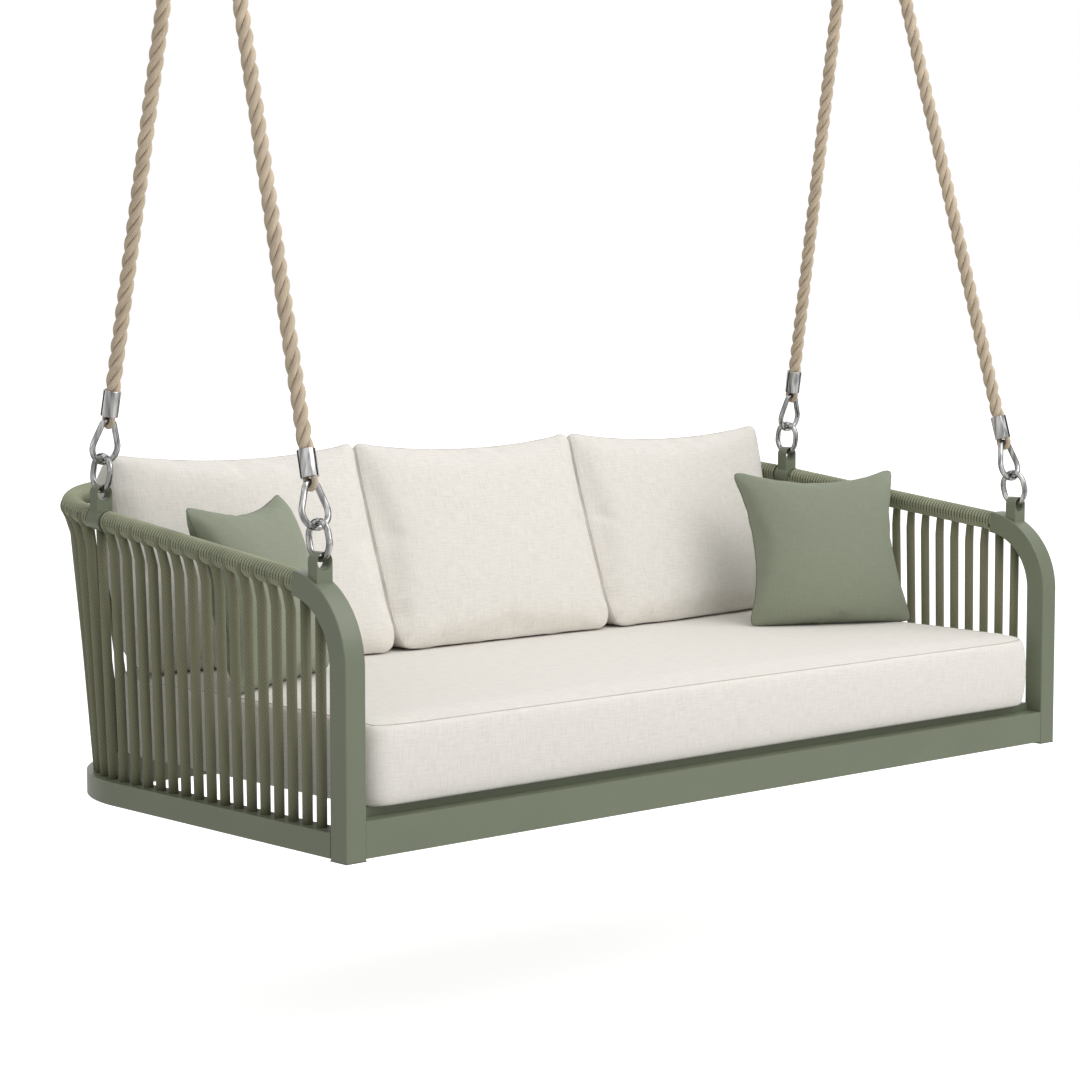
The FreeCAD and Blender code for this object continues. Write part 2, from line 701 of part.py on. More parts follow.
def build_hangers():
    at = Vector(hang_spread, hang_setback, 0)

    ring = Part.makeTorus(ring_radius, ring_wire_radius, at + Vector(0, 0, ring_middle_z), Y_AXIS)

    half = swing_eye_width / 2
    low = at + Vector(-swing_eye_thickness / 2, 0, ring_hole_z)
    high = at + Vector(-swing_eye_thickness / 2, 0, pin_z)
    plane = (Y_AXIS, Z_AXIS)
    bottom = arc_edge(low, half, math.pi, 2 * math.pi, plane)
    top = arc_edge(high, half, 0, math.pi, plane)
    across = Vector(0, half, 0)
    outline = Part.Wire([
        bottom,
        line_edge(low + across, high + across),
        top,
        line_edge(high - across, low - across),
    ])
    swing_eye = Part.Face(outline).extrude(Vector(swing_eye_thickness, 0, 0))
    swing_eye = swing_eye.cut(Part.makeCylinder(ring_hole_diameter / 2, swing_eye_thickness, low, X_AXIS))
    bush_bore = pin_diameter / 2 + pin_running_clearance
    bush_outer = bush_bore + bush_wall
    swing_eye = swing_eye.cut(Part.makeCylinder(bush_outer, swing_eye_thickness, high, X_AXIS))
    bush = Part.makeCylinder(bush_outer, swing_eye_thickness, high, X_AXIS)
    bush = bush.cut(Part.makeCylinder(bush_bore, swing_eye_thickness, high, X_AXIS))

    plate = Part.makeBox(plate_width, plate_length, plate_thickness)
    upright = [edge for edge in plate.Edges if abs(edge.Length - plate_thickness) < seat_gap]
    plate = plate.makeFillet(plate_corner_round, upright)
    plate.translate(at + Vector(-plate_width / 2, -plate_length / 2, plate_low_z))
    for sign in (-1, 1):
        hole_at = at + Vector(0, sign * plate_hole_spacing / 2, plate_low_z)
        plate = plate.cut(Part.makeCylinder(plate_hole_diameter / 2, plate_thickness, hole_at))
    ear_near = swing_eye_thickness / 2 + ear_side_gap
    for start_x in (-ear_near - ear_thickness, ear_near):
        pin_at = at + Vector(start_x, 0, pin_z)
        dome = arc_edge(pin_at, ear_width / 2, math.pi, 2 * math.pi, plane)
        left_top = pin_at + Vector(0, -ear_width / 2, pin_below_plate)
        right_top = pin_at + Vector(0, ear_width / 2, pin_below_plate)
        ear_outline = Part.Wire([
            dome,
            line_edge(dome.Vertexes[-1].Point, right_top),
            line_edge(right_top, left_top),
            line_edge(left_top, dome.Vertexes[0].Point),
        ])
        ear = Part.Face(ear_outline).extrude(Vector(ear_thickness, 0, 0))
        ear = ear.cut(Part.makeCylinder(bush_bore, ear_thickness, pin_at, X_AXIS))
        plate = plate.fuse(ear)
    plate = single(plate.removeSplitter())

    ear_far = ear_near + ear_thickness
    head_at = at + Vector(-ear_far - pin_head_length, 0, pin_z)
    shank_length = 2 * ear_far + nut_length + pin_tail
    pin = Part.makeCylinder(pin_head_diameter / 2, pin_head_length, head_at, X_AXIS)
    shank = Part.makeCylinder(pin_diameter / 2, shank_length, at + Vector(-ear_far, 0, pin_z), X_AXIS)
    pin = single(pin.fuse(shank).removeSplitter())

    corner_radius = nut_width / math.sqrt(3)
    corners = []
    for index in range(6):
        angle = index * math.pi / 3
        spoke = Vector(0, corner_radius * math.cos(angle), corner_radius * math.sin(angle))
        corners.append(at + Vector(ear_far, 0, pin_z) + spoke)
    nut = Part.Face(Part.makePolygon(corners + corners[:1])).extrude(Vector(nut_length, 0, 0))
    nut = nut.cut(shank)

    for side_name, sign in SIDES:
        keep("top_ring_" + side_name, on_side(ring, sign))
        keep("swing_eye_" + side_name, on_side(swing_eye, sign))
        keep("ceiling_plate_" + side_name, on_side(plate, sign))
        keep("hanger_pin_" + side_name, on_side(pin, sign))
    keep("swing_eye_bushes", mirrored(bush), bush)
    keep("hanger_nuts", mirrored(nut), nut)


# Cushions

def soft_outline(left, right, low, high, radii, draws, lift):
    """A four-sided outline in x y at a height: sides drawn in as shallow arcs, corners rounded.

    radii are for the low and high corners; draws are for the low, right, high and left sides."""
    low_r, high_r = radii
    corners = (
        (left + low_r, low + low_r, low_r, math.pi),
        (right - low_r, low + low_r, low_r, 1.5 * math.pi),
        (right - high_r, high - high_r, high_r, 0.0),
        (left + high_r, high - high_r, high_r, 0.5 * math.pi),
    )
    inward = (Y_AXIS, -X_AXIS, -Y_AXIS, X_AXIS)
    arcs = []
    for x, y, radius, start in corners:
        centre = Vector(x, y, lift)
        arcs.append(arc_edge(centre, radius, start, start + math.pi / 2, (X_AXIS, Y_AXIS)))
    edges = []
    for index, arc in enumerate(arcs):
        edges.append(arc)
        here = arc.Vertexes[-1].Point
        there = arcs[(index + 1) % 4].Vertexes[0].Point
        middle = (here + there) * 0.5 + inward[index] * draws[index]
        edges.append(Part.Arc(here, middle, there).toShape())
    return Part.Wire(edges)


def even(value):
    return (value, value, value, value)


def build_seat_cushion():
    half_width = rail_x - seat_inset
    back = base_depth - seat_inset
    back_radius = base_corner_radius - seat_inset
    levels = []
    for level, roll in zip(seat_level_shares, seat_roll_shares):
        levels.append((level * seat_thickness, roll * seat_edge_roll))
    levels[-1] = (seat_thickness, seat_cap_roll_share * seat_edge_roll)
    rim = [list(levels[-2]), list(levels[-1])]
    rim[0][0] = seat_thickness - seat_crown
    levels[-2:] = [tuple(rim[0]), tuple(rim[1])]
    wires = []
    for height, inset in levels:
        wires.append(soft_outline(
            -half_width + inset, half_width - inset, seat_front_setback + inset, back - inset,
            (seat_front_corner_radius, back_radius - inset), even(seat_side_draw),
            deck_height + soft_gap + height,
        ))
    keep("seat_cushion", Part.makeLoft(wires, True, True))


def build_back_cushions():
    space = 2 * (rail_x - seat_inset)
    pitch = space / back_cushion_count
    half = (pitch - back_cushion_gap) / 2
    foot_lift = back_foot_lift_share * back_cushion_thickness
    top_fall = back_top_fall_share * back_cushion_height
    draws = (0.0, back_side_draw, back_top_dip, back_side_draw)

    def outline(inset, depth, share, trims):
        low = foot_lift * share + inset
        high = back_cushion_height - top_fall * share - inset
        left_trim, right_trim = trims
        pulled = tuple(max((1 - share) * draw, seat_gap) for draw in draws)
        radius = back_corner_radius * (1 + share) if inset == 0 else 2 * back_corner_radius
        radii = (radius, radius)
        left = -half + inset + left_trim
        right = half - inset - right_trim
        return soft_outline(left, right, low, high, radii, pulled, -depth)

    def cushion(left_taper, right_taper):
        front = [outline(0, 0, 0, (0, 0))]
        for rise_share, inset_share in zip(back_front_rise_shares, back_front_inset_shares):
            front.append(outline(inset_share * back_cushion_height / 2, -rise_share * back_crown, 0, (0, 0)))
        back = []
        for depth_share, taper_share in zip(back_depth_shares, back_taper_shares):
            trims = (taper_share * left_taper, taper_share * right_taper)
            back.append(outline(0, depth_share * back_cushion_thickness, depth_share, trims))
        return single(Part.makeLoft(front, True, False).fuse(Part.makeLoft(back, True, False)))

    lean = Rotation(X_AXIS, 90.0 - back_cushion_recline)
    floor = seat_top + soft_gap
    tapers = {
        "left": (back_corner_taper, back_side_taper),
        "middle": (back_side_taper, back_side_taper),
        "right": (back_side_taper, back_corner_taper),
    }
    for index, (name, taper) in enumerate(tapers.items()):
        x = (index - (back_cushion_count - 1) / 2) * pitch
        piece = cushion(*taper)
        piece.Placement = Placement(Vector(x, back_cushion_setback, floor), lean)
        keep("back_cushion_" + name, piece)


def build_pillows():
    half = pillow_size / 2
    front = list(zip(pillow_rise_shares, pillow_inset_shares))
    back = [(-rise_share, inset_share) for rise_share, inset_share in front[:0:-1]]
    wires = []
    for rise_share, inset_share in back + front:
        inset = inset_share * half
        radius = pillow_corner_radius + pillow_round_share * inset
        draw = pillow_side_draw * (1 - inset_share)
        wires.append(soft_outline(
            -half + inset, half - inset, inset, pillow_height - inset,
            (radius, radius), even(draw), rise_share * pillow_thickness / 2,
        ))
    pillow = Part.makeLoft(wires, True, True)
    floor = seat_top + soft_gap
    places = (
        ("left", left_pillow_x, left_pillow_y, left_pillow_turn, left_pillow_recline),
        ("right", right_pillow_x, right_pillow_y, right_pillow_turn, right_pillow_recline),
    )
    for name, x, y, turn, recline in places:
        stand = Rotation(Z_AXIS, turn).multiply(Rotation(X_AXIS, 90.0 - recline))
        piece = pillow.copy()
        piece.Placement = Placement(Vector(x, y, floor), stand)
        keep("throw_pillow_" + name, piece)


os.makedirs("parts", exist_ok=True)
build_base()
right_post_block = build_posts()
rail_core, lug_collar, wrap_bars = build_rail()
build_lugs(right_post_block, rail_core, lug_collar)
build_cords(right_post_block, wrap_bars + [lug_collar])
build_suspension()
build_hangers()
build_seat_cushion()
build_back_cushions()
build_pillows()
for node, shape in made.items():
    solids = shape.Solids
    sound = all(solid.isValid() and solid.Volume > 0 for solid in solids)
    print(node, len(solids), "solids", "sound" if sound else "NOT SOUND")
print("nodes", len(made))
print("hanger pin height", round(pin_z - ceiling_z, 3), "base underside", round(-ceiling_z, 3))
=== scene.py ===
# %% [markdown]
# # A hanging sofa
#
# A tube frame hangs on four taut ropes. Olive cords fill its sides and back, a close winding of the
# same cord covers the arm rail, and loose linen cushions lie inside. The CAD model gives the frame,
# the steel fittings and every place; this file gives the soft pieces their real shape and every
# surface its finish. All lengths are in metres, in the frame of the CAD model: the origin lies on the
# ceiling between the two hangers, +X points right, +Y to the back of the sofa and +Z up.

# %% Load the frame
import json
import math

import bpy
import numpy as np
from mathutils import Matrix, Vector, noise
from mathutils.kdtree import KDTree


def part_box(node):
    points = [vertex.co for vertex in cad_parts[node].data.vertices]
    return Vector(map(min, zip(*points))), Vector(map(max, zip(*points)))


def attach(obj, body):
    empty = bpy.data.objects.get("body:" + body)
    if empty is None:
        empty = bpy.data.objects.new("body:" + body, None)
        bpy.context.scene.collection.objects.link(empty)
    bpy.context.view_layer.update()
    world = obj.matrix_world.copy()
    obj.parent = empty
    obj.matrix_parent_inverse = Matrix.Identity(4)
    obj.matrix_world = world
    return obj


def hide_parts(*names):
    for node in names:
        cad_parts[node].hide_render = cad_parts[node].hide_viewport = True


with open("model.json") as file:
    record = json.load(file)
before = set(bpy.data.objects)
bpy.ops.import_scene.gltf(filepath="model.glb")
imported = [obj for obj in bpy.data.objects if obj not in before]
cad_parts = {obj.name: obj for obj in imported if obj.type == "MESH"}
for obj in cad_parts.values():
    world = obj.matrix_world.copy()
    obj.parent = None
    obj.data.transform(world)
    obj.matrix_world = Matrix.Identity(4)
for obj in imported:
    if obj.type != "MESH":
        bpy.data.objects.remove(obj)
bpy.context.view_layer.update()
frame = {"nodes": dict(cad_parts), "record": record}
cad_nodes = frame["nodes"]
base_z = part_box("base_front_rail")[0][2]
front_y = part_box("front_post_left")[0][1]
print("frame of", len(cad_nodes), "nodes, base at", round(base_z, 4), "front at", round(front_y, 4))

# %% [markdown]
# ## The camera
#
# The photograph was matched by fitting a pinhole camera to the straight edges of the base and posts.
# A long lens from the front left, a little above the seat, gives the mild perspective of the picture.

# %% Camera
photo_pixels = 1080.0
focal_pixels = 2788.5
camera_offset = (-4.17397, -3.97172, 1.04267)
camera_yaw = 42.2165
camera_pitch = 5.08475
sensor_width = 36.0

scene = bpy.context.scene
camera_data = bpy.data.cameras.new("photo_camera")
camera_data.sensor_width = sensor_width
camera_data.lens = focal_pixels / photo_pixels * sensor_width
camera = bpy.data.objects.new("photo_camera", camera_data)
camera.location = np.add((0, front_y, base_z), camera_offset)
camera.rotation_euler = (math.radians(90 - camera_pitch), 0, math.radians(-camera_yaw))
scene.collection.objects.link(camera)
scene.camera = camera
print("lens", round(camera_data.lens, 2), "mm")

# %% [markdown]
# ## Small helpers
#
# Most pieces here are tubes along a path or filled panels. One helper makes an object from points and
# faces, one class lays round tubes along paths with a UV map in real metres, and a few short ones
# build shader nodes in a single readable line each.

# %% Mesh helpers
def put(name, data):
    """A new object in the scene."""
    made = bpy.data.objects.new(name, data)
    scene.collection.objects.link(made)
    return made


def make_piece(name, points, faces, uvs=None):
    """A smooth-shaded object from points, faces and one UV pair for every face corner."""
    mesh = bpy.data.meshes.new(name)
    mesh.from_pydata([tuple(point) for point in points], [], faces)
    if uvs is not None:
        layer = mesh.uv_layers.new(name="UVMap")
        layer.data.foreach_set("uv", np.asarray(uvs, dtype=np.float32).ravel())
    mesh.polygons.foreach_set("use_smooth", [True] * len(faces))
    mesh.update()
    return put(name, mesh)


def evaluated(piece):
    """A piece as its modifiers leave it."""
    return piece.evaluated_get(bpy.context.evaluated_depsgraph_get())


def points_of(mesh):
    return np.array([vertex.co[:] for vertex in mesh.vertices])


def mark_ridges(piece, ridge):
    """Keep a height for each point of a mesh, for the shaders that paint shade into grooves."""
    layer = piece.data.attributes.new("ridge", "FLOAT", "POINT")
    layer.data.foreach_set("value", np.asarray(ridge, dtype=np.float32))


# %% Path helpers
any_way = (0.31, 0.87, 0.22)


def steps_of(path):
    return np.linalg.norm(np.diff(path, axis=0), axis=1)


def lengths_along(path):
    """How far along a path each of its points lies."""
    return np.concatenate(([0.0], np.cumsum(steps_of(path))))


def sides_of(path):
    """Two directions across a path at each point, which turn as little as they can along it."""
    way = np.gradient(path, axis=0)
    way = way / np.linalg.norm(way, axis=1, keepdims=True)
    start = np.cross(way[0], any_way)
    normal = start / np.linalg.norm(start)
    normals = [normal]
    for step in range(1, len(path)):
        normal = normal - way[step] * normal.dot(way[step])
        normal = normal / np.linalg.norm(normal)
        normals.append(normal)
    normals = np.array(normals)
    return normals, np.cross(way, normals)


def smooth_path(points, steps):
    """A curve through all the points, with a number of steps between each two."""
    points = np.asarray(points, dtype=float)
    padded = np.vstack([2 * points[0] - points[1], points, 2 * points[-1] - points[-2]])
    curve = []
    for index in range(len(points) - 1):
        a, b, c, d = padded[index:index + 4]
        for t in np.arange(steps) / steps:
            square = (2 * a - 5 * b + 4 * c - d) * t ** 2
            cube = (3 * b - a - 3 * c + d) * t ** 3
            curve.append(0.5 * (2 * b + (c - a) * t + square + cube))
    curve.append(points[-1])
    return np.array(curve)


class Tubes:
    """Collects round tubes along paths and turns them into one piece."""

    def __init__(self):
        self.points = []
        self.faces = []
        self.uvs = []

    def add(self, path, radius, sides):
        path = np.asarray(path, dtype=float)
        radii = np.broadcast_to(np.asarray(radius, dtype=float), (len(path),))
        normal, side = sides_of(path)
        angles = np.arange(sides) * (2 * math.pi / sides)
        cosines = np.cos(angles)[None, :, None]
        sines = np.sin(angles)[None, :, None]
        rim = cosines * normal[:, None, :] + sines * side[:, None, :]
        rings = path[:, None, :] + radii[:, None, None] * rim
        first = len(self.points)
        self.points.extend(rings.reshape(-1, 3))
        along = lengths_along(path)
        around = 2 * math.pi * float(radii.max()) / sides
        for row in range(len(path) - 1):
            near, far = along[row:row + 2]
            low = first + row * sides
            high = low + sides
            for column in range(sides):
                after = (column + 1) % sides
                self.faces.append((low + column, low + after, high + after, high + column))
                left = column * around
                right = left + around
                self.uvs += [(left, near), (right, near), (right, far), (left, far)]
        last = first + (len(path) - 1) * sides
        self.faces.append(tuple(range(first + sides - 1, first - 1, -1)))
        self.faces.append(tuple(range(last, last + sides)))
        self.uvs += [(0.0, 0.0)] * (2 * sides)

    def piece(self, name):
        return make_piece(name, self.points, self.faces, self.uvs)


# %% Shader helpers
def finish_named(name):
    """A new material with its node tree and its main shader."""
    material = bpy.data.materials.new(name)
    material.use_nodes = True
    return material, material.node_tree, material.node_tree.nodes["Principled BSDF"]


def fill_inputs(tree, made, inputs):
    """Set inputs of a node. An input is a number, a colour or another node's output socket."""
    for key, value in inputs.items():
        if isinstance(value, bpy.types.NodeSocket):
            tree.links.new(value, made.inputs[key])
        else:
            made.inputs[key].default_value = value


def node(tree, kind, inputs=None, **settings):
    """One node of a shader or geometry tree, with its inputs and settings."""
    made = tree.nodes.new(kind)
    for key, value in settings.items():
        setattr(made, key, value)
    fill_inputs(tree, made, inputs or {})
    return made


def maths(tree, operation, first, second=None):
    inputs = {0: first} if second is None else {0: first, 1: second}
    return node(tree, "ShaderNodeMath", inputs, operation=operation).outputs[0]


def vector_maths(tree, operation, first, second):
    key = "Scale" if operation == "SCALE" else 1
    made = node(tree, "ShaderNodeVectorMath", {0: first, key: second}, operation=operation)
    return made.outputs["Value" if operation == "DOT_PRODUCT" else "Vector"]


def mean_of(tree, first, second):
    return maths(tree, "MULTIPLY", maths(tree, "ADD", first, second), 0.5)


def coordinates(tree, kind):
    return node(tree, "ShaderNodeTexCoord").outputs[kind]


def mapped(tree, place, **inputs):
    return node(tree, "ShaderNodeMapping", {"Vector": place, **inputs}).outputs[0]


def noise_on(tree, place, scale, detail):
    inputs = {"Vector": place, "Scale": scale, "Detail": detail}
    return node(tree, "ShaderNodeTexNoise", inputs).outputs["Fac"]


def bumped(tree, height, strength, distance):
    inputs = {"Height": height, "Strength": strength, "Distance": distance}
    return node(tree, "ShaderNodeBump", inputs).outputs["Normal"]


# %% Colour helpers
def scaled(colour, factor):
    return tuple(channel * factor for channel in colour)


def ramp(tree, factor, stops):
    """A colour ramp from a list of places and colours."""
    made = node(tree, "ShaderNodeValToRGB", {"Fac": factor})
    elements = made.color_ramp.elements
    while len(elements) < len(stops):
        elements.new(0.5)
    for element, (place, colour) in zip(elements, stops):
        element.position = place
        element.color = (*colour, 1.0)
    return made.outputs["Color"]


def shades(tree, factor, colour, stops):
    """A ramp through darker and lighter shades of one colour."""
    return ramp(tree, factor, [(place, scaled(colour, shade)) for place, shade in stops])


def groove_shaded(tree, colour, dark, low, full):
    """Painted shade in the grooves of a colour: ridge is 0 in a groove and 1 on a crest."""
    ridge = node(tree, "ShaderNodeAttribute", attribute_name="ridge").outputs["Fac"]
    inputs = {"Value": ridge, "From Min": low, "From Max": full, "To Min": dark}
    light = node(tree, "ShaderNodeMapRange", inputs).outputs["Result"]
    return vector_maths(tree, "SCALE", colour, light)


# %% [markdown]
# ## Light and floor
#
# The picture was taken against white in soft light from above and in front. A white world that is a
# little brighter above and on the right gives the even part. One large lamp above the right shoulder
# gives the tops their lift and leaves the outer left side in half shade. The floor lies well below
# the sofa and keeps only a faint shadow. In an all-white room polished steel has nothing to mirror,
# so two black flags stand at the sides, as photographers place them; only reflections see them.

# %% World and lamp
white = (1.0, 1.0, 1.0, 1.0)
world_level = 0.555
world_slope = (0.27, -0.04, 0.27)
lamp_watts = 160.0
lamp_place = (1.1, -3.4, 2.1)
lamp_size = 5.4
lamp_aim_height = 0.3

scene.view_settings.view_transform = "Standard"
world = bpy.data.worlds.new("studio_white")
world.use_nodes = True
scene.world = world
sky = world.node_tree
sky_light = sky.nodes["Background"]
slope = vector_maths(sky, "DOT_PRODUCT", coordinates(sky, "Generated"), world_slope)
fill_inputs(sky, sky_light, {"Color": white, "Strength": maths(sky, "ADD", slope, world_level)})
sky_seen = node(sky, "ShaderNodeBackground", {"Color": white, "Strength": 1.0})
rays = node(sky, "ShaderNodeLightPath").outputs
seen = maths(sky, "MAXIMUM", rays["Is Camera Ray"], rays["Is Glossy Ray"])
seen = maths(sky, "MAXIMUM", seen, rays["Is Transmission Ray"])
skies = {0: seen, 1: sky_light.outputs[0], 2: sky_seen.outputs[0]}
sky_mix = node(sky, "ShaderNodeMixShader", skies)
fill_inputs(sky, sky.nodes["World Output"], {"Surface": sky_mix.outputs[0]})

lamp_data = bpy.data.lights.new("soft_lamp", "AREA")
lamp_data.energy = lamp_watts
lamp_data.size = lamp_size
lamp = put("soft_lamp", lamp_data)
lamp.location = lamp_place
aim = Vector((0, 0, base_z + lamp_aim_height)) - Vector(lamp_place)
lamp.rotation_euler = aim.to_track_quat("-Z", "Y").to_euler()
print("a white world and a lamp of", lamp_watts, "watts")

# %% Floor and flags
floor_drop = 0.46
floor_half = 30.0
floor_glow = 0.70
floor_grey = (0.82, 0.82, 0.82, 1.0)
flag_half_width = 2.0
flag_top = 1.5
flag_distance = 6.0
flag_turns = (-18.0, 112.0)
flag_black = (0.02, 0.02, 0.02, 1.0)
one_face = [(0, 1, 2, 3)]

floor_z = base_z - floor_drop
corners = [(-floor_half, -floor_half), (floor_half, -floor_half),
           (floor_half, floor_half), (-floor_half, floor_half)]
floor = make_piece("studio_floor", [(x, y, floor_z) for x, y in corners], one_face)
floor_paint, tree, _ = finish_named("floor_white")
glow = node(tree, "ShaderNodeEmission", {"Color": white, "Strength": floor_glow}).outputs[0]
matt = node(tree, "ShaderNodeBsdfDiffuse", {"Color": floor_grey}).outputs[0]
from_camera = node(tree, "ShaderNodeLightPath").outputs["Is Camera Ray"]
lit = node(tree, "ShaderNodeAddShader", {0: glow, 1: matt}).outputs[0]
pick = node(tree, "ShaderNodeMixShader", {0: from_camera, 1: matt, 2: lit})
fill_inputs(tree, tree.nodes["Material Output"], {"Surface": pick.outputs[0]})
floor.data.materials.append(floor_paint)

for number, turn in enumerate(flag_turns):
    turn = math.radians(turn)
    middle = Vector((math.cos(turn), math.sin(turn), 0)) * flag_distance
    side = Vector((-math.sin(turn), math.cos(turn), 0)) * flag_half_width
    low = Vector((0, 0, floor_z))
    high = Vector((0, 0, flag_top))
    flag = make_piece("studio_flag_%d" % number, [
        middle - side + low, middle + side + low, middle + side + high, middle - side + high,
    ], one_face)
    flag_paint, tree, shader = finish_named("flag_black_%d" % number)
    shader.inputs["Base Color"].default_value = flag_black
    flag.data.materials.append(flag_paint)
    flag.visible_camera = False
    flag.visible_diffuse = False
    flag.visible_shadow = False
print("floor at", round(floor_z, 3), "and", len(flag_turns), "flags")

# %% [markdown]
# ## The frame's powder coat
#
# Satin powder coat is not flat: it has a fine orange-peel skin and a hardly visible drift in shade.
# Both come from noise in object coordinates, so the CAD tubes need no UV map.

# %% Powder coat
coat_colour = (0.165, 0.187, 0.124)


def powder_coat():
    material, tree, shader = finish_named("sage_powder_coat")
    place = coordinates(tree, "Object")
    drift = noise_on(tree, place, scale=5.0, detail=3.0)
    peel = noise_on(tree, place, scale=700.0, detail=2.0)
    fill_inputs(tree, shader, {
        "Base Color": shades(tree, drift, coat_colour, [(0.3, 0.95), (0.7, 1.05)]),
        "Normal": bumped(tree, peel, strength=0.10, distance=0.0004),
        "Roughness": 0.36,
        "Specular IOR Level": 0.5,
    })
    return material


# %% [markdown]
# ## Steel fittings
#
# Links, ferrules, rings and hangers are polished stainless steel. Their colour carries upright streaks,
# some brighter and some darker, which are painted reflections, and the roughness is cloudy. Noise that
# is stretched along the height draws the painted reflection streaks; finer, even noise gives the
# clouds.

# %% Steel
# Shades of the painted reflection streaks on the steel.
steel_reflection_tones = [
    (0.32, (0.20, 0.20, 0.197)),
    (0.5, (0.40, 0.40, 0.394)),
    (0.68, (0.60, 0.60, 0.592)),
]


def polished_steel():
    material, tree, shader = finish_named("polished_steel")
    place = coordinates(tree, "Object")
    drawn = mapped(tree, place, Rotation=(0.22, 0.0, 0.0), Scale=(120.0, 120.0, 3.0))
    painted_reflection_streak = noise_on(tree, drawn, scale=1.0, detail=1.0)
    cloud = noise_on(tree, place, scale=160.0, detail=4.0)
    rough = node(tree, "ShaderNodeMapRange", {"Value": cloud, "To Min": 0.08, "To Max": 0.20})
    fill_inputs(tree, shader, {
        "Base Color": ramp(tree, painted_reflection_streak, steel_reflection_tones),
        "Roughness": rough.outputs["Result"],
        "Metallic": 1.0,
    })
    return material


def plain_finish(name, colour, roughness, metallic):
    """A quiet finish for small hidden pieces, with a fine grain in its colour."""
    material, tree, shader = finish_named(name)
    grain = noise_on(tree, coordinates(tree, "Object"), scale=400.0, detail=3.0)
    fill_inputs(tree, shader, {
        "Base Color": shades(tree, grain, colour, [(0.3, 0.9), (0.7, 1.1)]),
        "Roughness": roughness,
        "Metallic": metallic,
    })
    return material


# %% Finishes for the CAD nodes that stay
bronze_colour = (0.42, 0.27, 0.12)
plug_colour = (0.09, 0.10, 0.075)
kept_finishes = {
    "frame_coat": powder_coat(),
    "steel": polished_steel(),
    "bush_bronze": plain_finish("bush_bronze", bronze_colour, roughness=0.35, metallic=1.0),
    "plug_plastic": plain_finish("plug_plastic", plug_colour, roughness=0.55, metallic=0.0),
}
for part in frame["record"]["subparts"]:
    finish = kept_finishes.get(part["material_slot"])
    if finish is not None:
        mesh = cad_nodes[part["node"]].data
        mesh.materials.clear()
        mesh.materials.append(finish)
print("finishes on the CAD nodes:", sorted(kept_finishes))

# %% [markdown]
# ## Ropes
#
# Each corner hangs on a rope of three twisted strands. It is taut, so its route is a straight line
# from the lower ferrule to the upper one; the route is still a NURBS spline, and the strands follow
# points read from it. Three helical tubes give true strand shadows, which a bump map can't.

# %% Rope finish
rope_colour = (0.560, 0.458, 0.335)


def rope_fibre():
    material, tree, shader = finish_named("rope_fibre")
    place = coordinates(tree, "UV")
    turned = mapped(tree, place, Rotation=(0, 0, 0.5), Scale=(520.0, 36.0, 1.0))
    fibre = noise_on(tree, turned, scale=1.0, detail=3.0)
    patch = noise_on(tree, place, scale=22.0, detail=2.0)
    both = mean_of(tree, fibre, patch)
    tone = shades(tree, both, rope_colour, [(0.30, 0.62), (0.5, 1.0), (0.72, 1.25)])
    fill_inputs(tree, shader, {
        # The grooves between the strands get painted shade.
        "Base Color": groove_shaded(tree, tone, dark=0.26, low=0.30, full=0.62),
        "Normal": bumped(tree, fibre, strength=0.55, distance=0.0012),
        "Roughness": 0.82,
        "Sheen Weight": 0.15,
    })
    return material


# %% Rope routes and strands
rope_lay = 0.104
strand_count = 3
strand_offset = 0.0083
strand_radius = 0.00735
strand_sides = 12
rope_routes = {
    "front": [
        (1.0207191, -0.4035564, -1.6674667),
        (0.9805617, -0.0709196, -0.4559680),
        (0.9746197, -0.0216998, -0.2766997),
    ],
    "rear": [
        (1.0184156, 0.2599616, -1.5758092),
        (0.9662965, 0.0496249, -0.4607496),
        (0.9577624, 0.0151838, -0.2781605),
    ],
}
rope_material = rope_fibre()


def read_route(name, points):
    """Points along the NURBS spline of a route, read back from Blender."""
    curve = bpy.data.curves.new(name + "_route", "CURVE")
    curve.dimensions = "3D"
    spline = curve.splines.new("NURBS")
    spline.points.add(len(points) - 1)
    for point, place in zip(spline.points, points):
        point.co = (*place, 1.0)
    spline.order_u = 3
    spline.use_endpoint_u = True
    spline.resolution_u = 320
    holder = put(name + "_route", curve)
    bpy.context.view_layer.update()
    mesh = bpy.data.meshes.new_from_object(holder)
    path = points_of(mesh)
    bpy.data.meshes.remove(mesh)
    bpy.data.objects.remove(holder)
    return path


def lay_rope(name, path):
    """Strands that wind round a path, right-handed."""
    normal, side = sides_of(path)
    along = lengths_along(path)
    tubes = Tubes()
    for strand in range(strand_count):
        turn = 2 * math.pi * (along / rope_lay + strand / strand_count)
        out = np.cos(turn)[:, None] * normal + np.sin(turn)[:, None] * side
        tubes.add(path + strand_offset * out, strand_radius, strand_sides)
    rope = tubes.piece(name)
    rings = np.array(tubes.points).reshape(strand_count, len(path), strand_sides, 3)
    reach = np.linalg.norm(rings - path[None, :, None, :], axis=3).ravel()
    # Each point's height over the strand groove, for the painted shade there.
    mark_ridges(rope, (reach - strand_offset + strand_radius) / (2 * strand_radius))
    return rope


rope_ends = {}
for corner, route in rope_routes.items():
    for side_name, sign in (("left", -1.0), ("right", 1.0)):
        name = "rope_%s_%s" % (corner, side_name)
        points = [(sign * x, y, z) for x, y, z in route]
        path = read_route(name, points)
        rope = lay_rope("twisted_" + name, path)
        rope.data.materials.append(rope_material)
        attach(rope, "swing_frame")
        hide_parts(name)
        rope_ends[corner, side_name] = (Vector(points[0]), Vector(points[-1]))

# %% [markdown]
# ## Rope eyes
#
# At both ends one strand of the rope comes out of its ferrule, loops round the link or the ring and
# goes back in. The loop is an arc with two straight legs, so it is worked out from a centre and a
# lean, in the plane across the wire that carries it.

